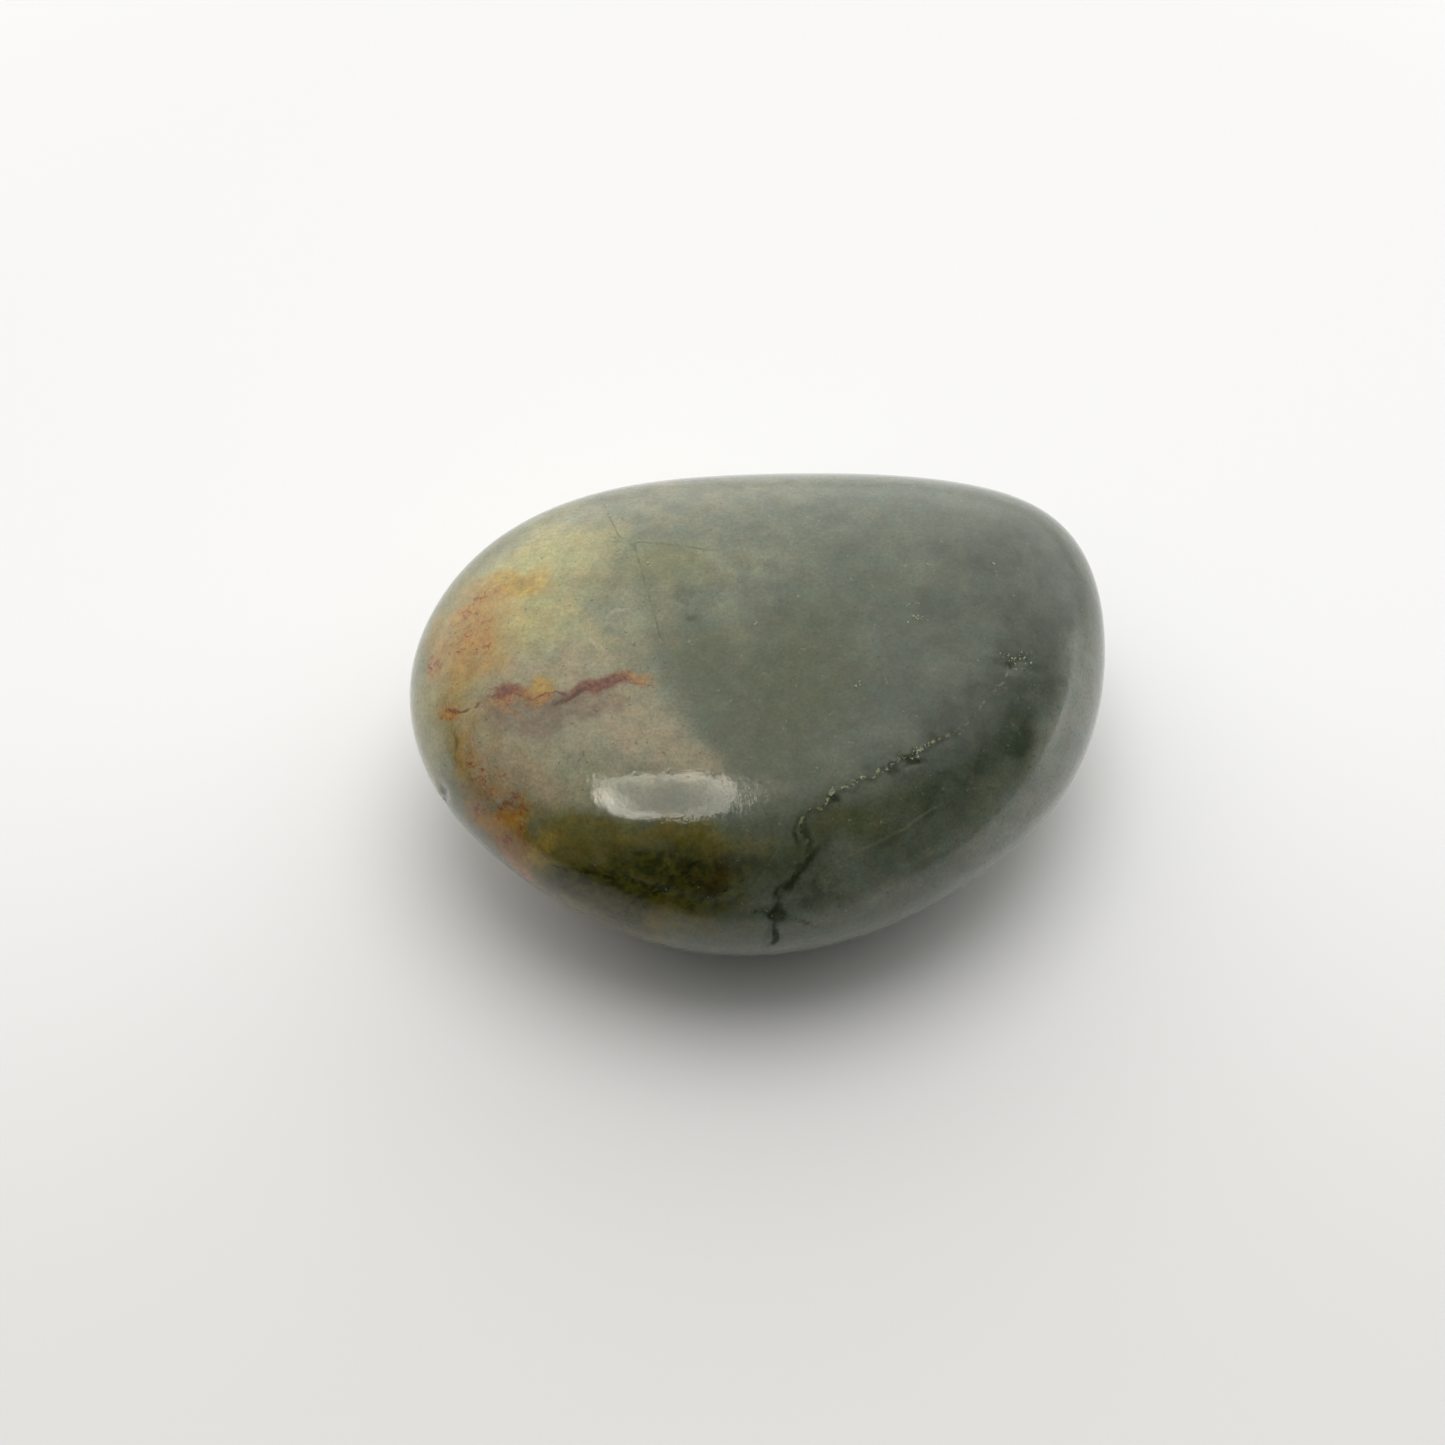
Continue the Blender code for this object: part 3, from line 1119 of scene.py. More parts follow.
@dataclass(frozen=True)
class PolishedChalcedony:
    """The stone's finish: a cloudy, slightly see-into body under a tumbled polish."""

    body: Rgb = (0.118, 0.134, 0.098)
    body_dark: Rgb = (0.088, 0.103, 0.076)
    body_cloud: Cloud = Cloud(0.22, 5.0, (0.35, 0.68, 0.0, 1.0), 0.6)
    stir_waves: float = 0.45
    stir_carry: float = 1.4
    stain_from: Ramp = (0.03, 0.20, 0.0, 1.0)
    stain_other: Ramp = (0.35, 0.65, 0.0, 1.0)
    stain_octaves: float = 6.0
    stain_rough: float = 0.6
    stain_finer: float = 2.3
    fine_octaves: float = 3.0

    # A painted shadow on the lower right of the seam's crust, partly the crack's own dark line: its colour,
    # breaks, edges and reach.
    crack_shadow_colour: Rgb = (0.016, 0.020, 0.008)
    crack_shadow_cloud: Cloud = Cloud(1.3, 3.0, (0.35, 0.55, 0.45, 0.92))
    crack_shadow_near_edge: Ramp = (0.04, 0.14, 1.0, 0.0)
    crack_shadow_far_edge: Ramp = (-0.42, -0.10, 0.0, 1.0)
    crack_shadow_reach: Ramp = (0.45, 0.75, 1.0, 0.0)

    flecks: Speckle = Speckle(Cloud(2.9, 4.0, (0.53, 0.61, 0.0, 1.0), 0.75, 0.8), (0.205, 0.040, 0.016))
    fleck_share: Ramp = (0.10, 0.50, 0.0, 0.92)
    fleck_patches: Cloud = Cloud(1.1, 3.0, (0.40, 0.56, 0.20, 1.0))
    dark_specks: Speckle = Speckle(Cloud(4.2, 1.0, (0.24, 0.30, 0.45, 0.0)), (0.035, 0.050, 0.030))
    pale_specks: Speckle = Speckle(Cloud(3.6, 1.0, (0.72, 0.78, 0.0, 0.22)), (0.320, 0.350, 0.270))
    haze_cloud: Cloud = Cloud(1.1, 4.0, (0.25, 0.75, 0.88, 1.12), 0.6)
    grain_shade: Ramp = (0.20, 0.80, 0.80, 1.20)
    tinge_cloud: Cloud = Cloud(0.9, 5.0, (0.35, 0.67, 0.0, 1.0), 0.65)
    warm_tinge: Rgb = (1.04, 0.99, 0.90)
    cool_tinge: Rgb = (0.95, 1.02, 0.98)

    grain_waves: float = 6.0
    grain_rough: float = 0.75
    polish: Ramp = (0.3, 0.8, 0.06, 0.13)
    crust_dullness: Ramp = (0.08, 0.22, 0.16, 0.0)
    gloss: float = 0.5
    gloss_lost: float = -0.42
    gloss_lost_where: Ramp = (0.35, 0.80, 0.0, 1.0)
    bend_of_light: float = 1.54
    see_into: float = 0.40
    see_into_tint: Rgb = (1.0, 0.9, 0.6)
    see_into_depth: float = 0.8 * MM
    waviness: tuple[tuple[float, float, float], ...] = ((1.3, 2.0, 0.012), (3.2, 2.0, 0.0035))
    grain_height: float = 0.0030

    def stains(self, bench: NodeBench, place: Socket, cloudy: Socket) -> Socket:
        """The base colour: the clouded body, then each tint in turn.

        Args:
            bench: Where the nodes go.
            place: Coordinates in millimetres.
            cloudy: The same, stirred.

        Returns:
            The stained colour.
        """
        colour = bench.mix(bench.cloud(cloudy, self.body_cloud), self.body_dark, self.body)
        for tint, stain in STAINS.items():
            ragged = bench.stray(cloudy, stain.grain, self.stain_octaves, self.stain_rough)
            weight = bench.layer(tint.value)
            level = bench.math("MULTIPLY_ADD", ragged, stain.ragged, weight)
            cover = bench.step(level, 0.5 - stain.soft, 0.5 + stain.soft, 0.0, stain.cover)
            cover = bench.times(cover, bench.step(weight, *self.stain_from))
            finer = bench.noise(place, stain.grain * self.stain_finer, self.fine_octaves)
            other = bench.step(finer, *self.stain_other)
            colour = bench.mix(cover, colour, bench.mix(other, stain.shade, stain.other))
        return colour

    def clouds(
        self, bench: NodeBench, place: Socket, cloudy: Socket, grain: Socket, colour: Socket
    ) -> Socket:
        """The colour with flecks, grain, a warm and cool tinge, and specks.

        Args:
            bench: Where the nodes go.
            place: Coordinates in millimetres.
            cloudy: The same, stirred.
            grain: The finest noise.
            colour: The stained colour.

        Returns:
            The finished colour.
        """
        fleck = bench.times(
            bench.cloud(place, self.flecks.cloud),
            bench.step(bench.layer(Tint.RUST.value), *self.fleck_share),
            bench.cloud(place, self.fleck_patches),
        )
        colour = bench.mix(fleck, colour, self.flecks.colour)
        shade = bench.times(bench.step(grain, *self.grain_shade), bench.cloud(cloudy, self.haze_cloud))
        colour = bench.mix(1.0, colour, shade, "MULTIPLY")
        tinge = bench.mix(bench.cloud(place, self.tinge_cloud), self.warm_tinge, self.cool_tinge)
        colour = bench.mix(1.0, colour, tinge, "MULTIPLY")
        for grains in (self.dark_specks, self.pale_specks):
            colour = bench.mix(bench.cloud(place, grains.cloud), colour, grains.colour)
        return colour

    def unevenness(self, bench: NodeBench, place: Socket, grain: Socket) -> Socket:
        """The slight waves that the polish leaves, and the grain.

        Args:
            bench: Where the nodes go.
            place: Coordinates in millimetres.
            grain: The finest noise.

        Returns:
            The normal that they give.
        """
        height = bench.times(grain, self.grain_height)
        for waves, octaves, tall in self.waviness:
            height = bench.math("MULTIPLY_ADD", bench.noise(place, waves, octaves), tall, height)
        return bench.dress(bench.add("ShaderNodeBump"), Distance=MM, Height=height).outputs["Normal"]

    def make(self) -> bpy.types.Material:
        """Build the material.

        Returns:
            The material.
        """
        material, bench, shader = NodeBench.cover("polished_chalcedony")
        scaled = bench.add("ShaderNodeVectorMath", operation="SCALE")
        place = bench.dress(scaled, Vector=bench.place(), Scale=1.0 / MM).outputs["Vector"]
        stir = bench.dress(bench.add("ShaderNodeTexNoise"), Vector=place, Scale=self.stir_waves)
        carry = bench.vector("MULTIPLY_ADD", stir.outputs["Color"], (self.stir_carry,) * 3, place)
        cloudy = carry.outputs["Vector"]

        colour = self.stains(bench, place, cloudy)
        for inlay in INLAYS:
            cover, _, _ = inlay.draw(bench, place)
            colour = bench.mix(bench.times(cover, bench.cloud(place, inlay.breaks)), colour, inlay.colour)
        crust, across, away = CRUST_INLAY.draw(bench, place)
        crust_share = bench.layer(Region.CRUST.value)
        # Painted shadow beside the crust, partly the crack's own dark line, where the gap is strong.
        crack = bench.times(
            bench.step(across, *self.crack_shadow_near_edge),
            bench.step(across, *self.crack_shadow_far_edge),
            bench.step(away, *self.crack_shadow_reach),
            bench.layer(Region.SHADOWED_GAP.value),
            bench.cloud(place, self.crack_shadow_cloud),
        )
        colour = bench.mix(crack, colour, self.crack_shadow_colour)
        crust = bench.times(crust, bench.cloud(place, CRUST_INLAY.breaks), crust_share)
        colour = bench.mix(crust, colour, CRUST_INLAY.colour)

        grain = bench.noise(place, self.grain_waves, self.fine_octaves, self.grain_rough)
        dull = bench.times(bench.step(away, *self.crust_dullness), crust_share)
        # Where the painted shadow of the crack and the dark shade lie, the gloss is dimmed as well, as if
        # shaded.
        sunk = bench.math("MAXIMUM", crack, bench.step(bench.layer(Tint.CRACK_FILL_AND_SHADE.value), *self.gloss_lost_where))
        bench.dress(
            shader,
            Base_Color=self.clouds(bench, place, cloudy, grain, colour),
            Roughness=bench.math("ADD", bench.step(grain, *self.polish), dull),
            IOR=self.bend_of_light,
            Specular_IOR_Level=bench.math("MULTIPLY_ADD", sunk, self.gloss_lost, self.gloss),
            Subsurface_Weight=self.see_into,
            Subsurface_Radius=self.see_into_tint,
            Subsurface_Scale=self.see_into_depth,
            Normal=self.unevenness(bench, place, grain),
        )
        return material


@dataclass(frozen=True)
class PaleCrystal:
    """The seam crystals' finish: greenish white to warm beige, worn dull."""

    cool: Rgb = (0.330, 0.350, 0.260)
    warm: Rgb = (0.270, 0.240, 0.130)
    roughness: float = 0.28
    bend_of_light: float = 1.54

    def make(self) -> bpy.types.Material:
        """Build the material.

        Returns:
            The material.
        """
        material, bench, shader = NodeBench.cover("pale_crystal")
        colour = bench.mix(bench.layer("warmth"), self.cool, self.warm)
        bench.dress(shader, Base_Color=colour, Roughness=self.roughness, IOR=self.bend_of_light)
        return material


@dataclass
class TumbledStone:
    """The stone itself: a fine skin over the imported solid, with its relief, marks and polish.

    Each of its random fields has a wavelength and a number.
    """

    cells: int = 120
    swell: float = 0.025
    swell_field: tuple[float, int] = (9.0, 31)
    seam_depth: float = 0.05
    seam_half_width: float = 0.16
    seam_reach: float = 1.0
    seam_stray: float = 0.10
    seam_stray_field: tuple[float, int] = (1.0, 33)
    seam_rough_field: tuple[float, int] = (1.1, 32)
    seam_rough: tuple[float, float, float] = (0.55, 0.45, 1.4)
    pit_depth: float = 0.12
    pit_field: tuple[float, int] = (0.55, 34)
    pit_most: float = 1.6
    chip_depth: float = 0.22
    rest_blend: float = 0.03

    def build(self, sight: Sightline) -> bpy.types.Object:
        """Make the piece, dress it and set it on the frame.

        Args:
            sight: The camera's line, which places the marks, and the skin, which is settled here.

        Returns:
            The finished piece.
        """
        skin = sight.skin
        directions, cells = ball_grid(self.cells)
        skin.settle(directions, *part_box("stone"))
        smooth = skin.middle + directions * skin.reach(directions)[:, None]
        marks = SkinMarks(smooth, sight)
        points = smooth + directions * self.relief(smooth, marks)[:, None]
        points[:, 2] = self.ground(points[:, 2])
        piece = fill("stone_skin", (points * MM).tolist(), cells.tolist(), PolishedChalcedony().make())
        piece.data.shade_smooth()
        marks.write(piece)
        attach(piece, "root")
        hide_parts("stone")
        return piece

    def relief(self, points: np.ndarray, marks: SkinMarks) -> np.ndarray:
        """How far the skin stands off the smooth form.

        A gentle swell all over, less a groove along the seam whose depth is a bell curve across it,
        less the pits, where a fine random field is above its mean, and less the chip in the edge.

        Args:
            points: Rows of places on the smooth form.
            marks: The seam's distances and the pits' weights there.

        Returns:
            One height for each point.
        """
        swell = self.swell * swirl(points, *self.swell_field)
        across, nearest = marks.lines[SEAM.name].T
        stray = self.seam_stray * swirl(points, *self.seam_stray_field)
        mean, spread, most = self.seam_rough
        rough = np.clip(mean + spread * swirl(points, *self.seam_rough_field), 0.0, most)
        groove = self.seam_depth * np.exp(-(((across + stray) / self.seam_half_width) ** 2)) * rough
        groove = groove * marks.weights[Region.CRUST] * (nearest < self.seam_reach)
        pits = self.pit_depth * np.clip(swirl(points, *self.pit_field), 0.0, self.pit_most)
        pits = pits * marks.weights[Region.PITS]
        return swell - groove - pits - self.chip_depth * marks.weights[Region.CHIP]

    def ground(self, height: np.ndarray) -> np.ndarray:
        """The height after the rest spot is ground level: the larger of it and 0, blended at the rim."""
        return (height + np.sqrt(height**2 + self.rest_blend**2)) / 2.0


@dataclass(frozen=True)
class CrystalRow:
    """Where tiny crystals stand: along a picture line, how many, how far astray and how big."""

    route: tuple[Pixel, ...]
    count: int
    stray: float
    size: float


CRYSTAL_ROWS = (
    CrystalRow(((930, 742), (925, 748), (917, 750), (914, 757)), 20, 0.07, 0.055),
    CrystalRow(((905, 757), (899, 760), (893, 762)), 8, 0.07, 0.045),
    CrystalRow(((890, 768), (881, 770), (873, 776)), 9, 0.08, 0.050),
    CrystalRow(((866, 776), (860, 779)), 6, 0.07, 0.065),
    CrystalRow(((857, 780), (852, 785)), 7, 0.07, 0.055),
    CrystalRow(((845, 787), (838, 789)), 6, 0.07, 0.050),
    CrystalRow(((835, 791), (829, 796)), 9, 0.08, 0.070),
    CrystalRow(((827, 803), (818, 809), (806, 814)), 9, 0.09, 0.045),
    CrystalRow(((803, 820), (801, 834), (807, 846)), 7, 0.08, 0.035),
    CrystalRow(((1010, 655), (1014, 660), (1024, 668)), 30, 0.24, 0.065),
    CrystalRow(((964, 648), (970, 655), (974, 660)), 6, 0.15, 0.045),
    CrystalRow(((970, 701), (978, 698), (990, 695)), 7, 0.12, 0.045),
    CrystalRow(((950, 738), (958, 734), (986, 724)), 6, 0.15, 0.045),
    CrystalRow(((903, 608), (912, 603), (922, 600)), 12, 0.08, 0.065),
    CrystalRow(((906, 622), (917, 618), (924, 619)), 14, 0.09, 0.080),
    CrystalRow(((856, 686), (862, 682)), 6, 0.09, 0.070),
    CrystalRow(((647, 563), (648, 564)), 4, 0.05, 0.100),
    CrystalRow(((799, 597), (800, 598)), 3, 0.04, 0.085),
    CrystalRow(((874, 627), (875, 628)), 3, 0.04, 0.080),
    CrystalRow(((755, 622), (756, 623)), 3, 0.04, 0.070),
    CrystalRow(((928, 564), (929, 565)), 2, 0.03, 0.075),
    CrystalRow(((993, 563), (994, 564)), 2, 0.03, 0.075),
    CrystalRow(((934, 631), (935, 632)), 2, 0.03, 0.070),
    CrystalRow(((764, 907), (772, 912), (784, 908)), 7, 0.14, 0.050),
)


@dataclass
class SeamCrystals:
    """The pale crystals that line the healed crack and its pits, each half sunk in the skin."""

    sink: float = 0.02
    seed: int = 51
    size_spread: tuple[float, float] = (0.45, 1.30)
    slimness: tuple[float, float] = (0.6, 1.0)

    def seats(self, sight: Sightline, draw: np.random.Generator) -> tuple[np.ndarray, np.ndarray]:
        """Where the crystals stand.

        Args:
            sight: The camera's line, which lands each row on the skin.
            draw: The random numbers.

        Returns:
            The crystals' middles, and half their length.
        """
        places, sizes = [], []
        for row in CRYSTAL_ROWS:
            landed = sight.land(row.route)
            passed = draw.uniform(0.0, len(landed) - 1.0, row.count)
            places.append(along(landed, passed) + row.stray * draw.normal(size=(row.count, 3)))
            sizes.append(row.size * draw.uniform(*self.size_spread, row.count))
        return sight.skin.drop(np.concatenate(places), self.sink), np.concatenate(sizes)

    def build(self, sight: Sightline) -> bpy.types.Object:
        """Make all the crystals as one piece: each a turned octahedron with three unlike half lengths.

        Args:
            sight: The camera's line and the skin.

        Returns:
            The finished piece.
        """
        draw = np.random.default_rng(self.seed)
        middles, sizes = self.seats(sight, draw)
        count = len(middles)
        turns, _ = np.linalg.qr(draw.normal(size=(count, 3, 3)))
        tips = np.repeat(np.eye(3), 2, axis=0) * np.tile([1.0, -1.0], 3)[:, None]
        lengths = sizes[:, None] * draw.uniform(*self.slimness, size=(count, 3))
        turns *= np.sign(np.linalg.det(turns))[:, None, None]
        corners = middles[:, None, :] + np.einsum("nij,ntj->nti", turns, tips * lengths[:, None, :])
        ring = np.array([[0, 2], [2, 1], [1, 3], [3, 0]])
        side = np.concatenate([np.insert(ring, 2, 4, axis=1), np.insert(ring[:, ::-1], 2, 5, axis=1)])
        faces = side[None, :, :] + len(tips) * np.arange(count)[:, None, None]
        corners, faces = (corners.reshape(-1, 3) * MM).tolist(), faces.reshape(-1, 3).tolist()
        piece = fill("seam_crystals", corners, faces, PaleCrystal().make())
        write_layer(piece, "warmth", np.repeat(draw.uniform(size=count), len(tips)))
        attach(piece, "root")
        return piece


@dataclass(frozen=True)
class Bulb:
    """A soft bright spot on a lamp: where it is, how wide and long its half is, and its glow."""

    at: Pixel
    wide: float
    long: float
    glow: float


@dataclass(frozen=True)
class Lamp:
    """A glowing sheet over the camera. Its height is in metres, and its plan in shares of it."""

    name: str
    middle: Pixel
    corners: tuple[Pixel, ...]
    height: float
    pane_glow: float
    rim_glow: float
    rim: float
    bulbs: tuple[Bulb, ...]
    rings: int = 30
    spokes: int = 120
    smoothing: int = 4

    def plan(self) -> tuple[np.ndarray, np.ndarray]:
        """The sheet's places. Its two parameters are the turn and the share of the way out.

        The outline runs through the corners, and each place on it is the mean of its neighbours, which
        rounds the corners off.

        Returns:
            Two columns of places, the middle first, and how far each is from the rim.
        """
        corners = np.array(self.corners + self.corners[:1])
        passed = np.linspace(0.0, len(corners) - 1.0, self.spokes, endpoint=False)
        turns = range(-self.smoothing, self.smoothing + 1)
        outline = np.mean([np.roll(along(corners, passed), turn, axis=0) for turn in turns], axis=0)
        way_out = np.linspace(0.0, 1.0, self.rings + 1)[1:]
        middle = np.array(self.middle)
        places = (middle + way_out[:, None, None] * (outline - middle)).reshape(-1, 2)
        inset = 1.0 - np.concatenate([[0.0], np.repeat(way_out, self.spokes)])
        return np.concatenate([middle[None, :], places]), inset

    def faces(self) -> list:
        """The corner numbers of each face: a fan at the middle, then rows of cells out to the rim.

        Returns:
            A list of faces.
        """
        spoke = np.arange(self.spokes)
        following = (spoke + 1) % self.spokes
        fan = [(0, 1 + here, 1 + there) for here, there in zip(spoke, following)]
        row = self.spokes * np.arange(self.rings - 1)[:, None] + 1
        out, there = row + self.spokes, row + following
        cells = np.stack([row + spoke, out + spoke, out + following, there], axis=-1)
        return fan + cells.reshape(-1, 4).tolist()

    def glow(self, places: np.ndarray, inset: np.ndarray) -> np.ndarray:
        """The pane's glow, more by a bell curve towards the rim and by another at each bulb.

        Args:
            places: Two columns of places.
            inset: How far each is from the rim.

        Returns:
            One strength for each place.
        """
        strength = self.pane_glow + self.rim_glow * np.exp(-((inset / self.rim) ** 2))
        for bulb in self.bulbs:
            across, along = (places[:, 0] - bulb.at[0]) / bulb.wide, (places[:, 1] - bulb.at[1]) / bulb.long
            strength += bulb.glow * np.exp(-(across**2) - along**2)
        return strength


LAMPS = (
    Lamp(
        "lamp_pane", (-0.22, -0.60),
        (
            (-0.37, -0.40), (-0.15, -0.31), (-0.01, -0.30), (-0.005, -0.43), (-0.02, -0.62), (-0.08, -0.75),
            (-0.16, -0.86), (-0.30, -0.93), (-0.41, -0.92), (-0.47, -0.84), (-0.47, -0.70), (-0.425, -0.55),
        ),
        0.60, 2.4, 7.2, 0.15,
        (Bulb((-0.42, -0.66), 0.07, 0.16, 8.0), Bulb((-0.28, -0.90), 0.16, 0.05, 5.5)),
    ),
    Lamp(
        "lamp_haze", (0.04, -0.43),
        (
            (-0.25, -0.90), (0.0, -0.95), (0.30, -0.90), (0.42, -0.43), (0.30, -0.05), (0.0, 0.0),
            (-0.25, -0.05),
        ),
        0.61, 0.0, 0.0, 0.10,
        (Bulb((0.0, -0.44), 0.06, 0.15, 1.6), Bulb((0.08, -0.40), 0.12, 0.12, 0.8)),
    ),
)


@dataclass
class Studio:
    """The light tent: a pale table, a bright ceiling and far wall, a dark near opening, and a lamp.

    Its sizes are in metres.
    """

    paper_far: Rgb = (0.83, 0.83, 0.825)
    # The near paper is darker: a painted shade for the tent's light falling off towards the near side.
    paper_near_shaded: Rgb = (0.70, 0.695, 0.68)
    shade_from: float = 0.012
    shade_to: float = -0.038
    # The table's far part glows: painted light, as if the far wall lit it.
    far_light: float = 0.70
    far_light_from: float = 0.05
    far_light_to: float = 0.22
    far_light_side: float = -0.08
    dim_floor: Rgb = (0.03, 0.03, 0.028)
    dim_bearing: float = -107.0
    dim_from: float = 0.017
    dim_to: float = 0.062
    back_glow: float = 1.72
    side_glow: float = 0.19
    ceiling_glow: float = 1.10
    ceiling_near_glow: float = 0.40
    ceiling_from: float = 0.55
    ceiling_to: float = 0.85
    wall_ramp: tuple[float, float] = (0.0, 0.6)
    ceiling_ramp: tuple[float, float] = (-0.45, 0.0)
    tent_tint: Rgb = (1.0, 0.99, 0.975)
    opening_glow: float = 0.02
    opening_top_bearing: float = -70.0
    opening_top_slope: float = 1.5
    opening_top_soft: float = 0.13
    opening_foot_bearing: float = -70.0
    opening_foot_slope: float = 0.04
    opening_foot_soft: float = 0.08
    table_half: float = 4.0
    key_place: tuple[float, float, float] = (0.015, 0.07, 0.40)
    key_width: float = 0.30
    key_power: float = 0.64
    key_aim: tuple[float, float, float] = (0.0, 0.0, 0.01)
    paper_roughness: float = 0.9
    front_height: float = 0.2 * MM
    lamp_tint: Rgb = (1.0, 0.935, 0.80)

    def wedge_side(self, bench: NodeBench, way: Socket, bearing: float, slope: float) -> Socket:
        """How far a direction lies under the plane that rises by this slope towards this bearing.

        Args:
            bench: Where the nodes go.
            way: The direction.
            bearing: Degrees from +X towards +Y.
            slope: The plane's rise over its run.

        Returns:
            The sine of the angle, below 0 for a direction over the plane.
        """
        scale, turn = math.hypot(1.0, slope), math.radians(bearing)
        edge = (slope * math.cos(turn) / scale, slope * math.sin(turn) / scale, -1.0 / scale)
        return bench.vector("DOT_PRODUCT", way, edge).outputs["Value"]

    def hang_tent(self) -> None:
        """The world: a bright far wall and ceiling, dim sides, and the opening between two edges."""
        world = bpy.data.worlds.new("light_tent")
        bpy.context.scene.world = world
        world.use_nodes = True
        bench = NodeBench(world.node_tree)
        way = bench.add("ShaderNodeTexCoord").outputs["Generated"]
        parts = bench.parts(way)
        wall = bench.step(parts["Y"], *self.wall_ramp, self.side_glow, self.back_glow)
        high_share = bench.step(parts["Z"], self.ceiling_from, self.ceiling_to)
        low_share = bench.math("SUBTRACT", 1.0, high_share)
        ceiling = bench.step(parts["Y"], *self.ceiling_ramp, self.ceiling_near_glow, self.ceiling_glow)
        wall = bench.math("MULTIPLY_ADD", high_share, ceiling, bench.times(wall, low_share))
        top = self.wedge_side(bench, way, self.opening_top_bearing, self.opening_top_slope)
        foot = self.wedge_side(bench, way, self.opening_foot_bearing, self.opening_foot_slope)
        under = bench.step(top, 0.0, self.opening_top_soft)
        over = bench.step(foot, -self.opening_foot_soft, 0.0, 1.0, 0.0)
        open_share = bench.times(under, over)
        shut_share = bench.math("SUBTRACT", 1.0, open_share)
        glow = bench.math("MULTIPLY_ADD", wall, shut_share, bench.times(open_share, self.opening_glow))
        bench.dress(world.node_tree.nodes["Background"], Strength=glow, Color=self.tent_tint)

    def put_up(self, name: str, corners: list, faces: list, material: bpy.types.Material) -> bpy.types.Object:
        """One flat sheet of the studio, which isn't part of the object: its corners are in metres.

        Args:
            name: The sheet's name.
            corners: Its corners, in metres.
            faces: The corner numbers of each face.
            material: What covers it.

        Returns:
            The sheet.
        """
        sheet = fill(name, corners, faces, material)
        return sheet

    def lay_table(self) -> None:
        """The white table top: a painted shade darkens it towards the near side, and a painted glow lights it
        behind the stone.
        """
        material, bench, shader = NodeBench.cover("white_table")
        place = bench.place()
        parts = bench.parts(place)
        shade = bench.step(parts["Y"], self.shade_to, self.shade_from)
        far_off = bench.vector("LENGTH", place).outputs["Value"]
        # The painted glow of the table behind the stone.
        behind = bench.step(parts["Y"], self.far_light_side, 0.0)
        far_light = bench.step(far_off, self.far_light_from, self.far_light_to, 0.0, self.far_light)
        bench.dress(
            shader,
            Base_Color=bench.mix(shade, self.paper_near_shaded, self.paper_far),
            Emission_Strength=bench.times(behind, far_light),
            Emission_Color=(1.0, 1.0, 1.0),
            Roughness=self.paper_roughness,
            Specular_IOR_Level=0.0,
        )
        half = self.table_half
        corners = [(-half, -half, 0.0), (half, -half, 0.0), (half, half, 0.0), (-half, half, 0.0)]
        self.put_up("table_top", corners, [(0, 1, 2, 3)], material)

    def hang_key(self) -> None:
        """The broad overhead light, which only shades: its own mirror image isn't seen."""
        light = bpy.data.lights.new("key", "AREA")
        light.shape = "DISK"
        light.size = self.key_width
        light.energy = self.key_power
        key = bpy.data.objects.new("key", light)
        key.location = self.key_place
        key.rotation_mode = "QUATERNION"
        key.rotation_quaternion = (Vector(self.key_aim) - key.location).to_track_quat("-Z", "Y")
        key.visible_glossy = False
        bpy.context.scene.collection.objects.link(key)

    def lay_front(self) -> None:
        """The dim floor in front of the tent, which only the polish mirrors: dimmer with the distance."""
        material, bench, shader = NodeBench.cover("dim_floor")
        turn = math.radians(self.dim_bearing)
        ahead, aside = np.array([math.cos(turn), math.sin(turn)]), np.array([-math.sin(turn), math.cos(turn)])
        passed = bench.vector("DOT_PRODUCT", bench.place(), (*ahead, 0.0)).outputs["Value"]
        share = bench.step(passed, self.dim_from, self.dim_to)
        colour = bench.mix(share, self.paper_near_shaded, self.dim_floor)
        bench.dress(shader, Base_Color=colour, Roughness=self.paper_roughness, Specular_IOR_Level=0.0)
        half = self.table_half
        plan = [
            self.dim_from * ahead - half * aside, half * ahead - half * aside,
            half * ahead + half * aside, self.dim_from * ahead + half * aside,
        ]
        corners = [(*place, self.front_height) for place in plan]
        sheet = self.put_up("dim_floor", corners, [(0, 1, 2, 3)], material)
        sheet.visible_camera = sheet.visible_diffuse = sheet.visible_shadow = False

    def hang_lamp(self, lamp: Lamp) -> None:
        """One lamp that the near shoulder mirrors.

        Args:
            lamp: Its plan and its glow.
        """
        material, bench, shader = NodeBench.cover(lamp.name)
        bench.tree.nodes.remove(shader)
        glow = bench.add("ShaderNodeEmission")
        bench.dress(glow, Strength=bench.layer("lamp_glow"), Color=self.lamp_tint)
        both = bench.add("ShaderNodeAddShader")
        bench.feed(both.inputs[0], glow.outputs[0])
        bench.feed(both.inputs[1], bench.add("ShaderNodeBsdfTransparent").outputs[0])
        bench.feed(bench.tree.nodes["Material Output"].inputs["Surface"], both.outputs[0])
        places, inset = lamp.plan()
        corners = np.column_stack([places, np.ones(len(places))]) * lamp.height
        sheet = self.put_up(lamp.name, corners.tolist(), lamp.faces(), material)
        write_layer(sheet, "lamp_glow", lamp.glow(places, inset))
        sheet.visible_diffuse = False

    def set_up(self) -> None:
        """All of it."""
        self.hang_tent()
        self.lay_table()
        self.lay_front()
        self.hang_key()
        for lamp in LAMPS:
            self.hang_lamp(lamp)
        bpy.context.scene.view_settings.view_transform = "Standard"


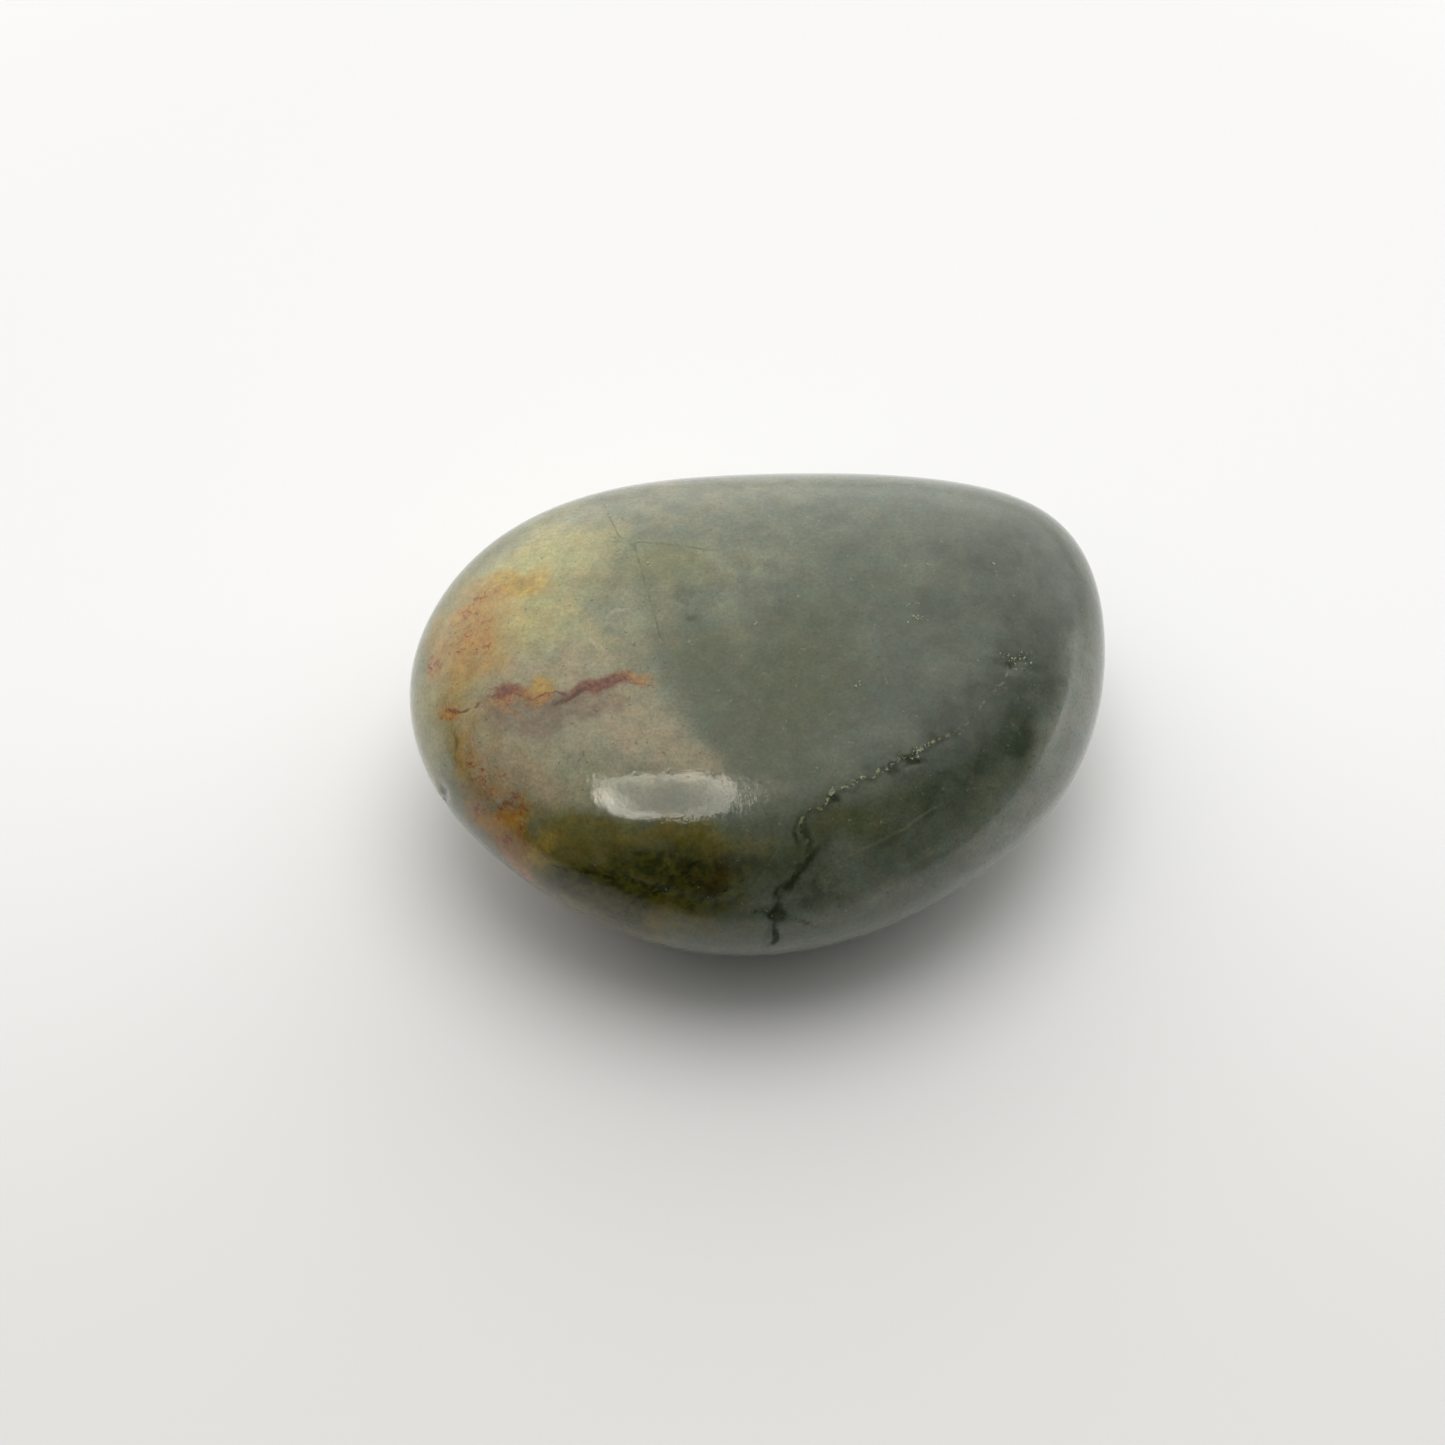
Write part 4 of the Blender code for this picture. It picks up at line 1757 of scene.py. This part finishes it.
def main() -> None:
    """Build the stone, the studio and the camera."""
    logging.basicConfig(level=logging.INFO, format="%(message)s")
    sight = Sightline(StoneSkin())
    stone = TumbledStone().build(sight)
    middle = sight.skin.middle.round(3)
    log.info("%s: %d corners, middle at %s mm", stone.name, len(stone.data.vertices), middle)
    crystals = SeamCrystals().build(sight)
    log.info("%s: %d faces", crystals.name, len(crystals.data.polygons))
    Studio().set_up()
    sight.place_camera()
    log.info("studio and camera set")


if __name__ == "__main__":
    main()
